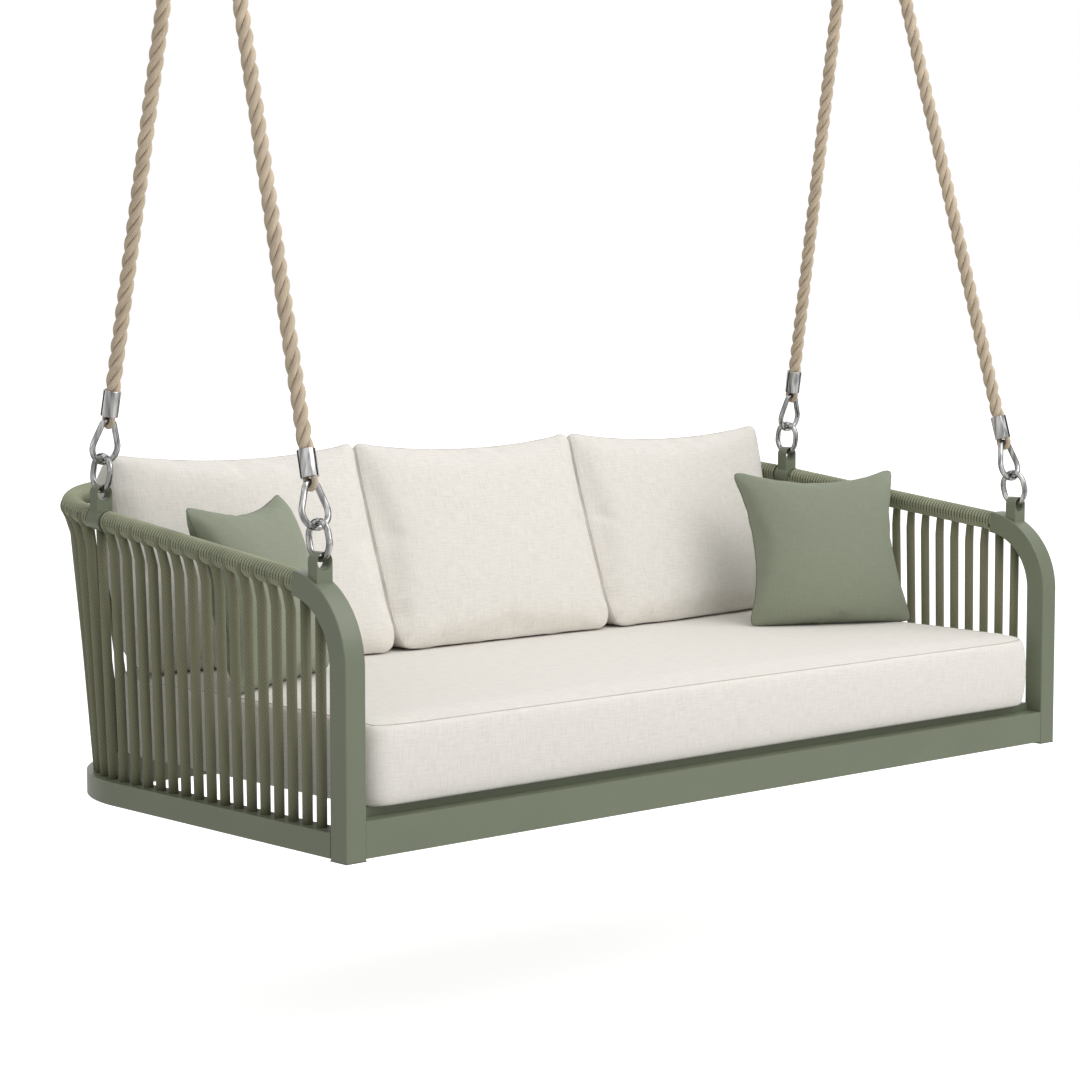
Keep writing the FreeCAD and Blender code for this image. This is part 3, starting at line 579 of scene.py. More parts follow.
# %% Rope eyes
eye_radius = 0.006
eye_sides = 14
eye_steps = 22
ring_radius = 0.047
ring_spread = 0.009
link_gap = 0.020
ring_gap = 0.082
link_way = Vector((1, 0, 0))
link_eye = {"loop_radius": 0.0132, "drop": 0.00075, "lean_degrees": 20.0, "reach": 0.010}
ring_eye = {"loop_radius": 0.0156, "drop": 0.00185, "lean_degrees": 7.4, "reach": 0.072}


def eye_path(wire, away, across, loop_radius, drop, lean_degrees, reach):
    """The line of an eye: round a wire's middle, with legs that go away from it."""
    lean = math.radians(lean_degrees)
    away = away.normalized()
    side = away.cross((across - away * across.dot(away)).normalized())
    centre = wire + away * drop
    loop = []
    for angle in np.linspace(math.pi - lean, 2 * math.pi + lean, eye_steps):
        out = side * (loop_radius * math.cos(angle))
        loop.append(centre + out + away * (loop_radius * math.sin(angle)))
    leg = (reach - (loop[0] - wire).dot(away)) / math.cos(lean)
    first = loop[0] + (away * math.cos(lean) + side * math.sin(lean)) * leg
    last = loop[-1] + (away * math.cos(lean) - side * math.sin(lean)) * leg
    return [first[:]] + [point[:] for point in loop] + [last[:]]


eye_sets = {"lower": Tubes(), "upper": Tubes()}
for (corner, side_name), (low, high) in rope_ends.items():
    up = (high - low).normalized()
    mirror = -1.0 if side_name == "left" else 1.0
    offset = ring_spread if corner == "front" else -ring_spread
    ring_way = Vector((math.sqrt(ring_radius ** 2 - offset ** 2), 0, mirror * offset))
    link_path = eye_path(low - up * link_gap, up, link_way, **link_eye)
    ring_path = eye_path(high + up * ring_gap, -up, ring_way, **ring_eye)
    eye_sets["lower"].add(link_path, eye_radius, eye_sides)
    eye_sets["upper"].add(ring_path, eye_radius, eye_sides)
for level, tubes in eye_sets.items():
    eyes = tubes.piece(level + "_strand_eyes")
    mark_ridges(eyes, np.ones(len(tubes.points)))
    eyes.data.materials.append(rope_material)
    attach(eyes, "swing_frame")
    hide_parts(level + "_rope_eyes")
print("rope eyes:", sum(len(tubes.faces) for tubes in eye_sets.values()), "faces")

# %% [markdown]
# ## The wound arm rail
#
# The rail is wound with cord, turn against turn, some hundreds of turns in all. A node tree makes it:
# it resamples the rail's axis, moves each point out along the rail's normal by an angle that grows
# from point to point, and sweeps a small circle along the helix that comes out.

# %% Cord finish
cord_colour = (0.188, 0.187, 0.114)
winding_colour = (0.330, 0.345, 0.226)
braid_scale = (330.0, 210.0)
braid_weaker_share = 0.45


def braided_cord():
    material, tree, shader = finish_named("olive_braid")
    place = coordinates(tree, "UV")
    waves = []
    for sign in (1.0, -1.0):
        turned = mapped(tree, place, Scale=(sign * braid_scale[0], braid_scale[1], 1.0))
        inputs = {"Vector": turned, "Scale": 0.31, "Distortion": 0.6}
        wave = node(tree, "ShaderNodeTexWave", inputs, bands_direction="DIAGONAL")
        waves.append(wave.outputs["Fac"])
    weaker = maths(tree, "MULTIPLY", waves[1], braid_weaker_share)
    braid = maths(tree, "MAXIMUM", waves[0], weaker)
    both = mean_of(tree, braid, noise_on(tree, place, scale=420.0, detail=3.0))
    fill_inputs(tree, shader, {
        "Base Color": shades(tree, both, cord_colour, [(0.18, 0.74), (0.5, 1.0), (0.8, 1.24)]),
        "Normal": bumped(tree, both, strength=0.5, distance=0.0011),
        "Roughness": 0.78,
        "Sheen Weight": 0.10,
    })
    return material


def wound_cord():
    material, tree, shader = finish_named("olive_winding")
    place = coordinates(tree, "Object")
    fleck = noise_on(tree, place, scale=420.0, detail=3.0)
    drift = noise_on(tree, place, scale=14.0, detail=2.0)
    both = mean_of(tree, fleck, drift)
    tone = shades(tree, both, winding_colour, [(0.3, 0.78), (0.5, 1.0), (0.7, 1.2)])
    fill_inputs(tree, shader, {
        # The grooves between the turns get painted shade.
        "Base Color": groove_shaded(tree, tone, dark=0.10, low=0.62, full=0.94),
        "Normal": bumped(tree, fleck, strength=0.35, distance=0.0008),
        "Roughness": 0.75,
        "Sheen Weight": 0.10,
    })
    return material


# %% Geometry node helpers
def open_tree(name, inputs):
    """A geometry node tree with named inputs, each a kind and a default, and their sockets."""
    tree = bpy.data.node_groups.new(name, "GeometryNodeTree")
    tree.interface.new_socket(name="Geometry", in_out="OUTPUT", socket_type="NodeSocketGeometry")
    for label, (kind, default) in inputs.items():
        socket = tree.interface.new_socket(name=label, in_out="INPUT", socket_type=kind)
        if default is not None:
            socket.default_value = default
    return tree, tree.nodes.new("NodeGroupInput").outputs


def even_line(tree, mesh, step):
    """The given edge line as a curve with even steps."""
    line = node(tree, "GeometryNodeMeshToCurve", {"Mesh": mesh})
    inputs = {"Curve": line.outputs[0], "Length": step}
    return node(tree, "GeometryNodeResampleCurve", inputs, mode="LENGTH").outputs[0]


def sweep(tree, curve, sides, radius, caps):
    """A round tube along a curve."""
    ring = node(tree, "GeometryNodeCurvePrimitiveCircle", {"Resolution": sides, "Radius": radius})
    inputs = {"Curve": curve, "Profile Curve": ring.outputs[0], "Fill Caps": caps}
    return node(tree, "GeometryNodeCurveToMesh", inputs).outputs[0]


def close_tree(tree, geometry, finish):
    """The end of a tree: smooth shading, real geometry and a material."""
    soft = node(tree, "GeometryNodeSetShadeSmooth", {"Geometry": geometry})
    real = node(tree, "GeometryNodeRealizeInstances", {"Geometry": soft.outputs[0]})
    inputs = {"Geometry": real.outputs[0], "Material": finish}
    dressed = node(tree, "GeometryNodeSetMaterial", inputs)
    fill_inputs(tree, tree.nodes.new("NodeGroupOutput"), {"Geometry": dressed.outputs[0]})
    return tree


def run_tree(name, path, tree, values, closed=False):
    """Run a node tree on an edge line and keep its result as a plain mesh."""
    count = len(path)
    edges = [(index, index + 1) for index in range(count - 1)]
    if closed:
        edges.append((count - 1, 0))
    mesh = bpy.data.meshes.new(name + "_line")
    mesh.from_pydata([tuple(point) for point in path], edges, [])
    holder = put(name + "_line", mesh)
    modifier = holder.modifiers.new("tree", "NODES")
    modifier.node_group = tree
    for item in tree.interface.items_tree:
        if item.in_out == "INPUT" and item.name in values:
            modifier[item.identifier] = values[item.name]
    bpy.context.view_layer.update()
    made = bpy.data.meshes.new_from_object(evaluated(holder))
    made.name = name
    holder.modifiers.clear()
    bpy.data.objects.remove(holder)
    return put(name, made)


# %% Winding node tree
turn_spacing = 0.0086
winding_radius = 0.0178
winding_cord_radius = 0.0044
turn_steps = 22
winding_sides = 8


def winding_tree():
    """Geometry nodes that wind a cord round the edge line they are given."""
    tree, given = open_tree("cord_winding", {
        "Geometry": ("NodeSocketGeometry", None),
        "Turn spacing": ("NodeSocketFloat", turn_spacing),
        "Winding radius": ("NodeSocketFloat", winding_radius),
        "Cord radius": ("NodeSocketFloat", winding_cord_radius),
        "Steps in a turn": ("NodeSocketInt", turn_steps),
        "Finish": ("NodeSocketMaterial", None),
    })
    step = maths(tree, "DIVIDE", given["Turn spacing"], given["Steps in a turn"])
    line = even_line(tree, given["Geometry"], step)
    upright = node(tree, "GeometryNodeSetCurveNormal", {"Curve": line}, mode="Z_UP")
    number = node(tree, "GeometryNodeInputIndex").outputs[0]
    angle = maths(tree, "DIVIDE", number, given["Steps in a turn"])
    angle = maths(tree, "MULTIPLY", angle, 2 * math.pi)
    normal = node(tree, "GeometryNodeInputNormal").outputs[0]
    tangent = node(tree, "GeometryNodeInputTangent").outputs[0]
    across = vector_maths(tree, "CROSS_PRODUCT", tangent, normal)
    out_a = vector_maths(tree, "SCALE", normal, maths(tree, "COSINE", angle))
    out_b = vector_maths(tree, "SCALE", across, maths(tree, "SINE", angle))
    both = vector_maths(tree, "ADD", out_a, out_b)
    moved = vector_maths(tree, "SCALE", both, given["Winding radius"])
    helix = node(tree, "GeometryNodeSetPosition", {"Geometry": upright.outputs[0], "Offset": moved})
    swept = sweep(tree, helix.outputs[0], winding_sides, given["Cord radius"], caps=True)
    # The height over the rail's axis is kept as ridge, for the painted shade between the turns.
    axis = {"Geometry": given["Geometry"]}
    near = node(tree, "GeometryNodeProximity", axis, target_element="EDGES")
    lowest = maths(tree, "SUBTRACT", given["Winding radius"], given["Cord radius"])
    width = maths(tree, "MULTIPLY", given["Cord radius"], 2.0)
    above = maths(tree, "SUBTRACT", near.outputs["Distance"], lowest)
    ridge = maths(tree, "DIVIDE", above, width)
    inputs = {"Geometry": swept, "Name": "ridge", "Value": ridge}
    marked = node(tree, "GeometryNodeStoreNamedAttribute", inputs)
    return close_tree(tree, marked.outputs[0], given["Finish"])


# %% [markdown]
# ## The line of the rail
#
# Seen from above, the rail and the base both follow a U: straight along an arm, round a quarter circle
# and across the back. The rail lies in a plane that rises to the back. One function gives a point at
# any distance along such a U, and the cords and the winding both use it.

# %% The two U-shaped lines
rail_x = 1.026
post_bend_depth = 0.157914
post_bend_height = 0.503529
rail_degrees = 6.5
rail_depth = 1.150
base_depth = 1.065
corner_radius = 0.300
first_cord_y = 0.103
rail_top = 0.048
corner_x = rail_x - corner_radius
rail_slope = math.radians(rail_degrees)
rail_start_y = front_y + post_bend_depth
rail_start_z = base_z + post_bend_height
rail_run = (front_y + rail_depth - rail_start_y) / math.cos(rail_slope) - corner_radius
base_run = base_depth - corner_radius - first_cord_y
quarter = corner_radius * math.pi / 2
rail_up = np.array((0.0, -math.sin(rail_slope), math.cos(rail_slope)))


def whole_u(straight):
    return 2 * (straight + quarter + corner_x)


def along_u(distance, straight):
    """A point of a U in its plane, from its front end on the left, and the way outwards there."""
    total = whole_u(straight)
    if distance > total / 2:
        (x, y), (out_x, out_y) = along_u(total - distance, straight)
        return (-x, y), (-out_x, out_y)
    if distance <= straight:
        return (-rail_x, distance), (-1.0, 0.0)
    if distance <= straight + quarter:
        angle = (distance - straight) / corner_radius
        out = (-math.cos(angle), math.sin(angle))
        return (-corner_x + corner_radius * out[0], straight + corner_radius * out[1]), out
    return (-corner_x + distance - straight - quarter, straight + corner_radius), (0.0, 1.0)


def on_rail(x, y):
    """A point of the rail's sloping plane; y counts from the end of the front post's bend."""
    rise = y * math.sin(rail_slope)
    return np.array((x, rail_start_y + y * math.cos(rail_slope), rail_start_z + rise))


def out_of_rail(out):
    return np.array((out[0], out[1] * math.cos(rail_slope), out[1] * math.sin(rail_slope)))


# %% Winding on each stretch of the rail
collar_half = 0.022
line_step = 0.01
lug_place = rail_run - collar_half
rail_total = whole_u(rail_run)
winding = winding_tree()
winding_finish = wound_cord()
corner_end = rail_run + quarter
stretches = {
    "arm_wrap_left": (0.0, lug_place - collar_half),
    "corner_wrap_left": (rail_run, corner_end),
    "back_wrap": (corner_end, rail_total - corner_end),
    "corner_wrap_right": (rail_total - corner_end, rail_total - rail_run),
    "arm_wrap_right": (rail_total - lug_place + collar_half, rail_total),
}
for name, (start, end) in stretches.items():
    inset = winding_cord_radius
    places = np.linspace(start + inset, end - inset, max(2, int((end - start) / line_step)))
    line = [on_rail(*along_u(place, rail_run)[0]) for place in places]
    wound = run_tree("wound_" + name, line, winding, {
        "Turn spacing": turn_spacing, "Winding radius": winding_radius,
        "Cord radius": winding_cord_radius, "Steps in a turn": turn_steps, "Finish": winding_finish,
    })
    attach(wound, "swing_frame")
    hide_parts(name)
    print(name, round((end - start) / turn_spacing), "turns,", len(wound.data.polygons), "faces")

# %% [markdown]
# ## Infill cords
#
# Each cord stands on the base rail, runs up to the arm rail and is bound into the winding: its end
# bends to the outside, lies flat over the rail and goes under the turns on top. The first two on each
# side end under the bent post, and the ones at the rear lugs end at the lugs' collars.

# %% Infill cords
cord_count = 86
cord_radius = 0.0102
cord_sides = 14
cord_foot_sink = 0.002
post_bend_y = 0.175
post_bend_z = 0.3535
post_inner_radius = 0.127
post_cord_reach = 0.012
post_cord_sink = 0.004
collar_drop = 0.018
bend_start = 0.060
bend_steps = 4
rise_shares = (0.0, 0.5)
bound_angles = (20.0, 48.0, 78.0, 108.0, 140.0)
bound_reach = (0.0222, 0.0208, 0.0193, 0.0178, 0.0150)
bound_shares = (0.88, 0.64, 0.52, 0.46, 0.40)
base_total = whole_u(base_run)
front_rail_run = rail_run + (rail_start_y - front_y - first_cord_y) / math.cos(rail_slope)
head_total = whole_u(front_rail_run)
head_shift = front_rail_run - rail_run
cord_names = ("side_left", "corner_left", "back", "corner_right", "side_right")
cord_groups = {group: Tubes() for group in cord_names}


def cord_line(foot, head, out, place):
    """The line of one cord and its radius along it."""
    way = (head - foot) / np.linalg.norm(head - foot)
    start = foot - way * cord_foot_sink
    from_front = min(place, head_total - place) - head_shift
    if from_front < post_cord_reach:
        reach = foot[1] - front_y - post_bend_y
        rise = math.sqrt(post_inner_radius ** 2 - reach ** 2)
        top_z = base_z + post_bend_z + rise + post_cord_sink
        return [start, start + way * ((top_z - start[2]) / way[2])], cord_radius
    if abs(from_front - lug_place) < collar_half + cord_radius / 2:
        return [start, head - way * collar_drop], cord_radius
    bound = []
    for angle, reach in zip(np.radians(bound_angles), bound_reach):
        bound.append(head + reach * (math.sin(angle) * out - math.cos(angle) * rail_up))
    below = head - way * bend_start
    bend = smooth_path([below] + bound, bend_steps)
    shares = (1.0,) + bound_shares
    steps = np.arange(len(bend)) / bend_steps
    radii = np.interp(steps, np.arange(len(shares)), shares) * cord_radius
    rise = [start + (below - start) * share for share in rise_shares]
    return np.vstack([rise, bend]), np.concatenate(([cord_radius] * len(rise), radii))


for index in range(cord_count):
    share = index / (cord_count - 1)
    (foot_x, foot_y), _ = along_u(share * base_total, base_run)
    (head_x, head_y), head_out = along_u(share * head_total, front_rail_run)
    foot = np.array((foot_x, front_y + first_cord_y + foot_y, base_z + rail_top))
    head = on_rail(head_x, head_y - head_shift)
    line, radii = cord_line(foot, head, out_of_rail(head_out), share * head_total)
    group = "back"
    if foot_y <= base_run or abs(foot_x) > corner_x:
        group = "side" if foot_y <= base_run else "corner"
        group += "_left" if foot_x < 0 else "_right"
    cord_groups[group].add(line, radii, cord_sides)
cord_finish = braided_cord()
for group, tubes in cord_groups.items():
    cords = tubes.piece("braided_cords_" + group)
    cords.data.materials.append(cord_finish)
    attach(cords, "swing_frame")
    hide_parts("infill_cords_" + group)
print(cord_count, "infill cords")

# %% [markdown]
# ## Cloth for the cushions
#
# The cover is a plain linen with slubs: thicker stretches of yarn that show as short streaks along
# both thread directions. Two stretched noises draw them, and a fine wave on each axis raises the
# weave itself. The patterns read the cushions' UV maps, which hold real metres on the cut cloth.

# %% Linen and heather weave
linen_colour = (0.790, 0.757, 0.705)
heather_colour = (0.262, 0.288, 0.212)
slub_length_scale = 28.0
slub_thread_share = 0.6
slub_shift = (7.3, 1.9, 0.0)
slub_detail = 2.5
weave_share = 0.16
# Seams are darker than their cloth: painted shade along the seam line.
linen_seam_painted_shade = 0.84
seat_seam_painted_shade = 0.66
heather_seam_painted_shade = 0.62


def woven_cloth(name, colour, light, dark, thread, bump):
    """A plain weave with light and dark slubs. Thread counts are threads for each metre."""
    material, tree, shader = finish_named(name)
    place = coordinates(tree, "UV")
    fine = thread * slub_thread_share
    across = mapped(tree, place, Scale=(slub_length_scale, fine, 1.0))
    upright = mapped(tree, place, Scale=(fine, slub_length_scale, 1.0), Location=slub_shift)
    weft = noise_on(tree, across, scale=1.0, detail=slub_detail)
    warp = noise_on(tree, upright, scale=1.0, detail=slub_detail)
    slubs = mean_of(tree, weft, warp)
    turn = thread * 2 * math.pi
    split = node(tree, "ShaderNodeSeparateXYZ", {"Vector": place}).outputs
    ridges = []
    for axis in ("X", "Y"):
        ridges.append(maths(tree, "SINE", maths(tree, "MULTIPLY", split[axis], turn)))
    weave = maths(tree, "MULTIPLY", maths(tree, "MULTIPLY", *ridges), weave_share)
    height = maths(tree, "ADD", weave, slubs)
    fill_inputs(tree, shader, {
        "Base Color": shades(tree, slubs, colour, [(0.34, dark), (0.5, 1.0), (0.66, light)]),
        "Normal": bumped(tree, height, strength=bump, distance=0.0016),
        "Roughness": 0.9,
        "Specular IOR Level": 0.2,
        "Sheen Weight": 0.12,
        "Sheen Roughness": 0.5,
    })
    return material


seam_weave = {"light": 1.04, "dark": 0.85, "thread": 620.0, "bump": 0.3}
linen = woven_cloth("natural_linen", linen_colour, light=1.06, dark=0.90, thread=620.0, bump=0.32)
heather = woven_cloth("heather_weave", heather_colour,
                      light=1.07, dark=0.93, thread=900.0, bump=0.22)
# Seam finishes, darker for the painted shade along each seam.
linen_seam = woven_cloth("linen_seam", scaled(linen_colour, linen_seam_painted_shade), **seam_weave)
seat_seam = woven_cloth("seat_seam", scaled(linen_colour, seat_seam_painted_shade), **seam_weave)
heather_seam = woven_cloth("heather_seam", scaled(heather_colour, heather_seam_painted_shade),
                           light=1.1, dark=0.8, thread=480.0, bump=0.3)
print("two cloths and three seam finishes")

# %% [markdown]
# ## Cutting the covers
#
# A cover is cut as panels: one in front, one behind and, on a box cushion, a strip between them. The
# outline of a panel has rounded corners and sides that draw in, as stuffed cloth does. A grid whose
# rings follow the outline keeps the mesh even up to the seam, so the filling can push it smoothly.

# %% Outlines
corner_steps = 9
side_steps = 42


def side_line(start, end, inward, draw, radius_a, radius_b):
    """One side of an outline, from the middle of one rounded corner to the middle of the next."""
    way = (end - start) / np.linalg.norm(end - start)
    centre_a = start + radius_a * (way + inward)
    centre_b = end + radius_b * (inward - way)
    bend = np.linspace(math.pi / 4, 0, corner_steps)[:, None]
    first = centre_a - radius_a * (np.sin(bend) * way + np.cos(bend) * inward)
    last = centre_b + radius_b * (np.sin(bend[::-1]) * way - np.cos(bend[::-1]) * inward)
    share = np.linspace(0, 1, side_steps)[1:-1, None]
    dip = inward * draw * (1 - (2 * share - 1) ** 2)
    return np.vstack([first, first[-1] + (last[0] - first[-1]) * share + dip, last])


def outline(left, right, low, high, radii, draws, counts):
    """Points of a four-sided outline, anticlockwise from the low left corner."""
    corners = np.array(((left, low), (right, low), (right, high), (left, high)))
    inwards = np.array(((0.0, 1.0), (-1.0, 0.0), (0.0, -1.0), (1.0, 0.0)))
    bends = (radii[0], radii[0], radii[1], radii[1])
    loop = []
    for side in range(4):
        after = (side + 1) % 4
        line = side_line(corners[side], corners[after], inwards[side], draws[side],
                         bends[side], bends[after])
        lengths = lengths_along(line)
        wanted = np.linspace(0, lengths[-1], counts[side % 2] + 1)[:-1]
        places = [np.interp(wanted, lengths, line[:, axis]) for axis in range(2)]
        loop.append(np.stack(places, axis=1))
    return np.vstack(loop)


def at_height(loop, height):
    return np.column_stack([loop, np.full(len(loop), height)])


def low_crown(height, power):
    """The swell of a panel over its rim; a high power keeps it flat up to the seam."""
    return lambda u, v: height * ((1 - abs(u) ** power) * (1 - abs(v) ** power)) ** 0.5


# %% Covers
rim_share = 0.9999
rim_slip = 1e-6


class Cover:
    """The mesh of a cushion's cover: rows of outlines from the front seam to the back seam."""

    def __init__(self, rows, crowns, counts):
        self.counts = counts
        self.total = 2 * (counts[0] + counts[1])
        self.points = []
        self.faces = []
        self.uvs = []
        self.front = set()
        loops = [self.add_row(row) for row in rows]
        self.front_loop = loops[0]
        self.back_loop = loops[-1]
        self.add_panel(rows[0], loops[0], crowns[0], facing=1)
        self.add_panel(rows[-1], loops[-1], crowns[1], facing=-1)
        for row in range(len(rows) - 1):
            self.add_strip(rows, loops, row)

    def add_row(self, row):
        first = len(self.points)
        self.points.extend(row)
        return list(range(first, first + self.total))

    def below(self, height):
        """The numbers of the points that lie below a height."""
        return [index for index, point in enumerate(self.points) if point[2] < height]

    def rim_place(self, u, v):
        """Where a point of the grid's rim lies, counted in points along the outline."""
        across, up = self.counts
        if v <= -rim_share:
            return (u + 1) / 2 * across
        if u >= rim_share:
            return across + (v + 1) / 2 * up
        if v >= rim_share:
            return across + up + (1 - u) / 2 * across
        return 2 * across + up + (1 - v) / 2 * up

    def rim_point(self, row, u, v):
        place = self.rim_place(u, v)
        low = int(math.floor(place + rim_slip))
        share = place - low
        return row[low % self.total] * (1 - share) + row[(low + 1) % self.total] * share

    def add_panel(self, row, loop, crown, facing):
        across, up = self.counts
        middle = row.mean(axis=0)
        number = {}
        for i in range(across + 1):
            for j in range(up + 1):
                u = 2 * i / across - 1
                v = 2 * j / up - 1
                reach = max(abs(u), abs(v))
                if reach > rim_share:
                    number[i, j] = loop[round(self.rim_place(u, v)) % self.total]
                    continue
                rim = middle
                if reach > 0:
                    rim = self.rim_point(row, u / reach, v / reach)
                point = middle + (rim - middle) * reach
                point = point + np.array((0.0, 0.0, facing * crown(u, v)))
                number[i, j] = len(self.points)
                self.points.append(point)
                if facing > 0:
                    self.front.add(number[i, j])
        for i in range(across):
            for j in range(up):
                face = [number[i, j], number[i + 1, j], number[i + 1, j + 1], number[i, j + 1]]
                face = face[::facing]
                self.faces.append(tuple(face))
                corners = [self.points[corner] for corner in face]
                self.uvs += [(facing * point[0], point[1]) for point in corners]

    def add_strip(self, rows, loops, row):
        near = rows[row]
        along = lengths_along(np.vstack([near, near[:1]]))
        top = -near[:, 2].mean()
        low = -rows[row + 1][:, 2].mean()
        for k in range(self.total):
            after = (k + 1) % self.total
            upper, lower = loops[row], loops[row + 1]
            self.faces.append((upper[k], lower[k], lower[after], upper[after]))
            left, right = along[k:k + 2]
            self.uvs += [(left, top), (left, low), (right, low), (right, top)]


# %% [markdown]
# ## Filling and sewing
#
# The covers are blown up with cloth simulation: pressure pushes the cloth out, a little slack lets it
# wrinkle, and a soft limit keeps each point near its pattern. Then the seam is pulled in with small
# puckers, and a thin tube lies along each seam as the sewn edge; its cloth is darker, as painted shade
# along the seam line. The place of the cushion comes last.

# %% Filling
fill_frames = 18
foot_clear = 0.0004


def fill_cover(cover, held, pressure, slack):
    """Blow up a cover with cloth simulation and give back its points. Held points stay in place."""
    piece = make_piece("blank_cover", cover.points, cover.faces)
    group = piece.vertex_groups.new(name="held")
    group.add(held, 1.0, "REPLACE")
    cloth = piece.modifiers.new("filling", "CLOTH")
    settings = cloth.settings
    settings.quality = 5
    settings.mass = 0.25
    settings.tension_stiffness = 18.0
    settings.compression_stiffness = 18.0
    settings.shear_stiffness = 6.0
    settings.bending_stiffness = 0.6
    settings.use_pressure = True
    settings.uniform_pressure_force = pressure
    settings.shrink_min = -slack
    settings.vertex_group_mass = "held"
    settings.effector_weights.gravity = 0.0
    cloth.collision_settings.use_collision = False
    cloth.point_cache.frame_start = 1
    cloth.point_cache.frame_end = fill_frames
    for step in range(1, fill_frames + 1):
        scene.frame_set(step)
    filled = points_of(evaluated(piece).data)
    bpy.data.objects.remove(piece)
    scene.frame_set(1)
    return filled


def soft_limit(value, low, high):
    """Ease a value into a range, so that a limit leaves no edge."""
    middle = (low + high) / 2
    half = (high - low) / 2
    return middle + half * np.tanh((value - middle) / half)


def stuff(cover, held, pressure, slack, front_limits, other_limits):
    """The points of a filled cover.

    How far a point may move in x, y and z is limited, on the front panel and elsewhere.
    """
    pattern = np.array(cover.points)
    move = np.zeros_like(pattern)
    move = fill_cover(cover, held, pressure, slack) - pattern
    on_front = np.zeros(len(pattern), dtype=bool)
    on_front[list(cover.front)] = True
    for axis in range(3):
        front = soft_limit(move[:, axis], *front_limits[axis])
        other = soft_limit(move[:, axis], *other_limits[axis])
        move[:, axis] = np.where(on_front, front, other)
    return pattern + move


def flat_foot(points, stand):
    """Lift the points that would lie below the foot once the cushion stands."""
    turn = np.array(stand.to_3x3())
    heights = points @ turn.T[:, 2]
    return points + np.outer(np.maximum(foot_clear - heights, 0.0), turn[2])


# %% Sewing
seam_radius = 0.0012
seam_step = 0.006
seam_sides = 6
pucker_reach = 4
pucker_tuck = 0.35


def seam_tree():
    """Geometry nodes that lay a thin rolled seam along a closed edge line."""
    tree, given = open_tree("sewn_seam", {
        "Geometry": ("NodeSocketGeometry", None),
        "Seam radius": ("NodeSocketFloat", seam_radius),
        "Finish": ("NodeSocketMaterial", None),
    })
    line = even_line(tree, given["Geometry"], seam_step)
    swept = sweep(tree, line, seam_sides, given["Seam radius"], caps=False)
    return close_tree(tree, swept, given["Finish"])


sewn_seam = seam_tree()


def pull_seams(points, normals, seams, depth, spread, spacing, seed):
    """Draw the cloth in along its seams, unevenly, as thread does."""
    tree = KDTree(sum(len(seam) for seam in seams))
    marks = []
    for seam in seams:
        for point, along in zip(seam, lengths_along(seam)):
            tree.insert(point, len(marks))
            marks.append(along)
    tree.balance()
    pulled = points.copy()
    for index, point in enumerate(points):
        _, mark, distance = tree.find(point)
        if distance > pucker_reach * spread:
            continue
        pucker = noise.noise(Vector((marks[mark] / spacing, seed, 0.0)))
        fade = math.exp(-distance / spread)
        swell = depth * fade * (1 - fade) * 4 * pucker  # fade * (1 - fade) * 4 is 1 at its most
        pulled[index] = point + normals[index] * (swell - pucker_tuck * depth * fade)
    return pulled


def sew_cushion(name, cover, place, filled, finish, seam_finish, seams, pucker):
    """Finish a filled cover: smooth it, pull its seams in and put it in place."""
    piece = make_piece("cover_" + name, filled, cover.faces, cover.uvs)
    smooth = piece.modifiers.new("smooth", "SUBSURF")
    smooth.levels = 1
    bpy.context.view_layer.update()
    mesh = bpy.data.meshes.new_from_object(evaluated(piece))
    piece.modifiers.clear()
    rough = piece.data
    piece.data = mesh
    bpy.data.meshes.remove(rough)
    points = points_of(mesh)
    normals = np.array([vertex.normal[:] for vertex in mesh.vertices])
    points = pull_seams(points, normals, [points[seam] for seam in seams], **pucker)
    mesh.vertices.foreach_set("co", points.astype(np.float32).ravel())
    mesh.transform(place)
    mesh.update()
    mesh.materials.clear()
    mesh.materials.append(finish)
    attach(piece, name)
    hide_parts(name)
    for index, seam in enumerate(seams):
        line = [place @ Vector(point) for point in points[seam]]
        values = {"Seam radius": seam_radius, "Finish": seam_finish}
        sewn = run_tree("seam_%d_%s" % (index, name), line, sewn_seam, values, closed=True)
        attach(sewn, name)
    print(name, len(mesh.polygons), "faces")


# %% [markdown]
# ## The seat cushion
#
# One box cushion fills the seat. It lies flat on the slats, its top is hardly crowned and its rim rolls
# over softly to the seam. The top sinks a little to the front and rises a little at the sides. Its
# rear corners follow the rounded frame.

# %% Seat cushion
seat_half = 0.984
seat_front = 0.008
seat_back = 1.011
seat_low = 0.0883
seat_high = 0.2562
seat_seam_drop = 0.0085
seat_front_corner = 0.040
seat_back_corner = 0.246
seat_draws = (0.003, 0.004, 0.004, 0.004)
seat_crowns = (low_crown(height=0.0075, power=14), low_crown(height=0.0, power=2))
seat_floor_band = 0.002
seat_rim_room = 0.010
seat_front_drop = 0.010
seat_front_fade = 0.07
seat_side_rise = 0.004
seat_side_fade = 0.05
seat_counts = (96, 50)
strip_shares = (0.0, 0.03, 0.12, 0.28, 0.45, 0.62, 0.80, 0.92, 0.98, 1.0)
strip_rolls = (0.009, 0.0045, 0.0010, -0.001, -0.002, -0.0015, 0.0, 0.0030, 0.0070, 0.0105)
seat_flat_limit = (-0.0025, 0.0025)
seat_filling = {
    "pressure": 2.2,
    "slack": 0.004,
    "front_limits": (seat_flat_limit, seat_flat_limit, (-0.004, 0.010)),
    "other_limits": (seat_flat_limit, seat_flat_limit, (-0.0012, 0.0012)),
}
seat_pucker = {"depth": 0.0009, "spread": 0.020, "spacing": 0.060, "seed": 3.1}


def seat_row(share, roll):
    loop = outline(-seat_half + roll, seat_half - roll, seat_front + roll, seat_back - roll,
                   (seat_front_corner, seat_back_corner - roll), seat_draws, seat_counts)
    height = seat_high - seat_seam_drop - share * (seat_high - seat_low - seat_seam_drop)
    return at_height(loop, height)


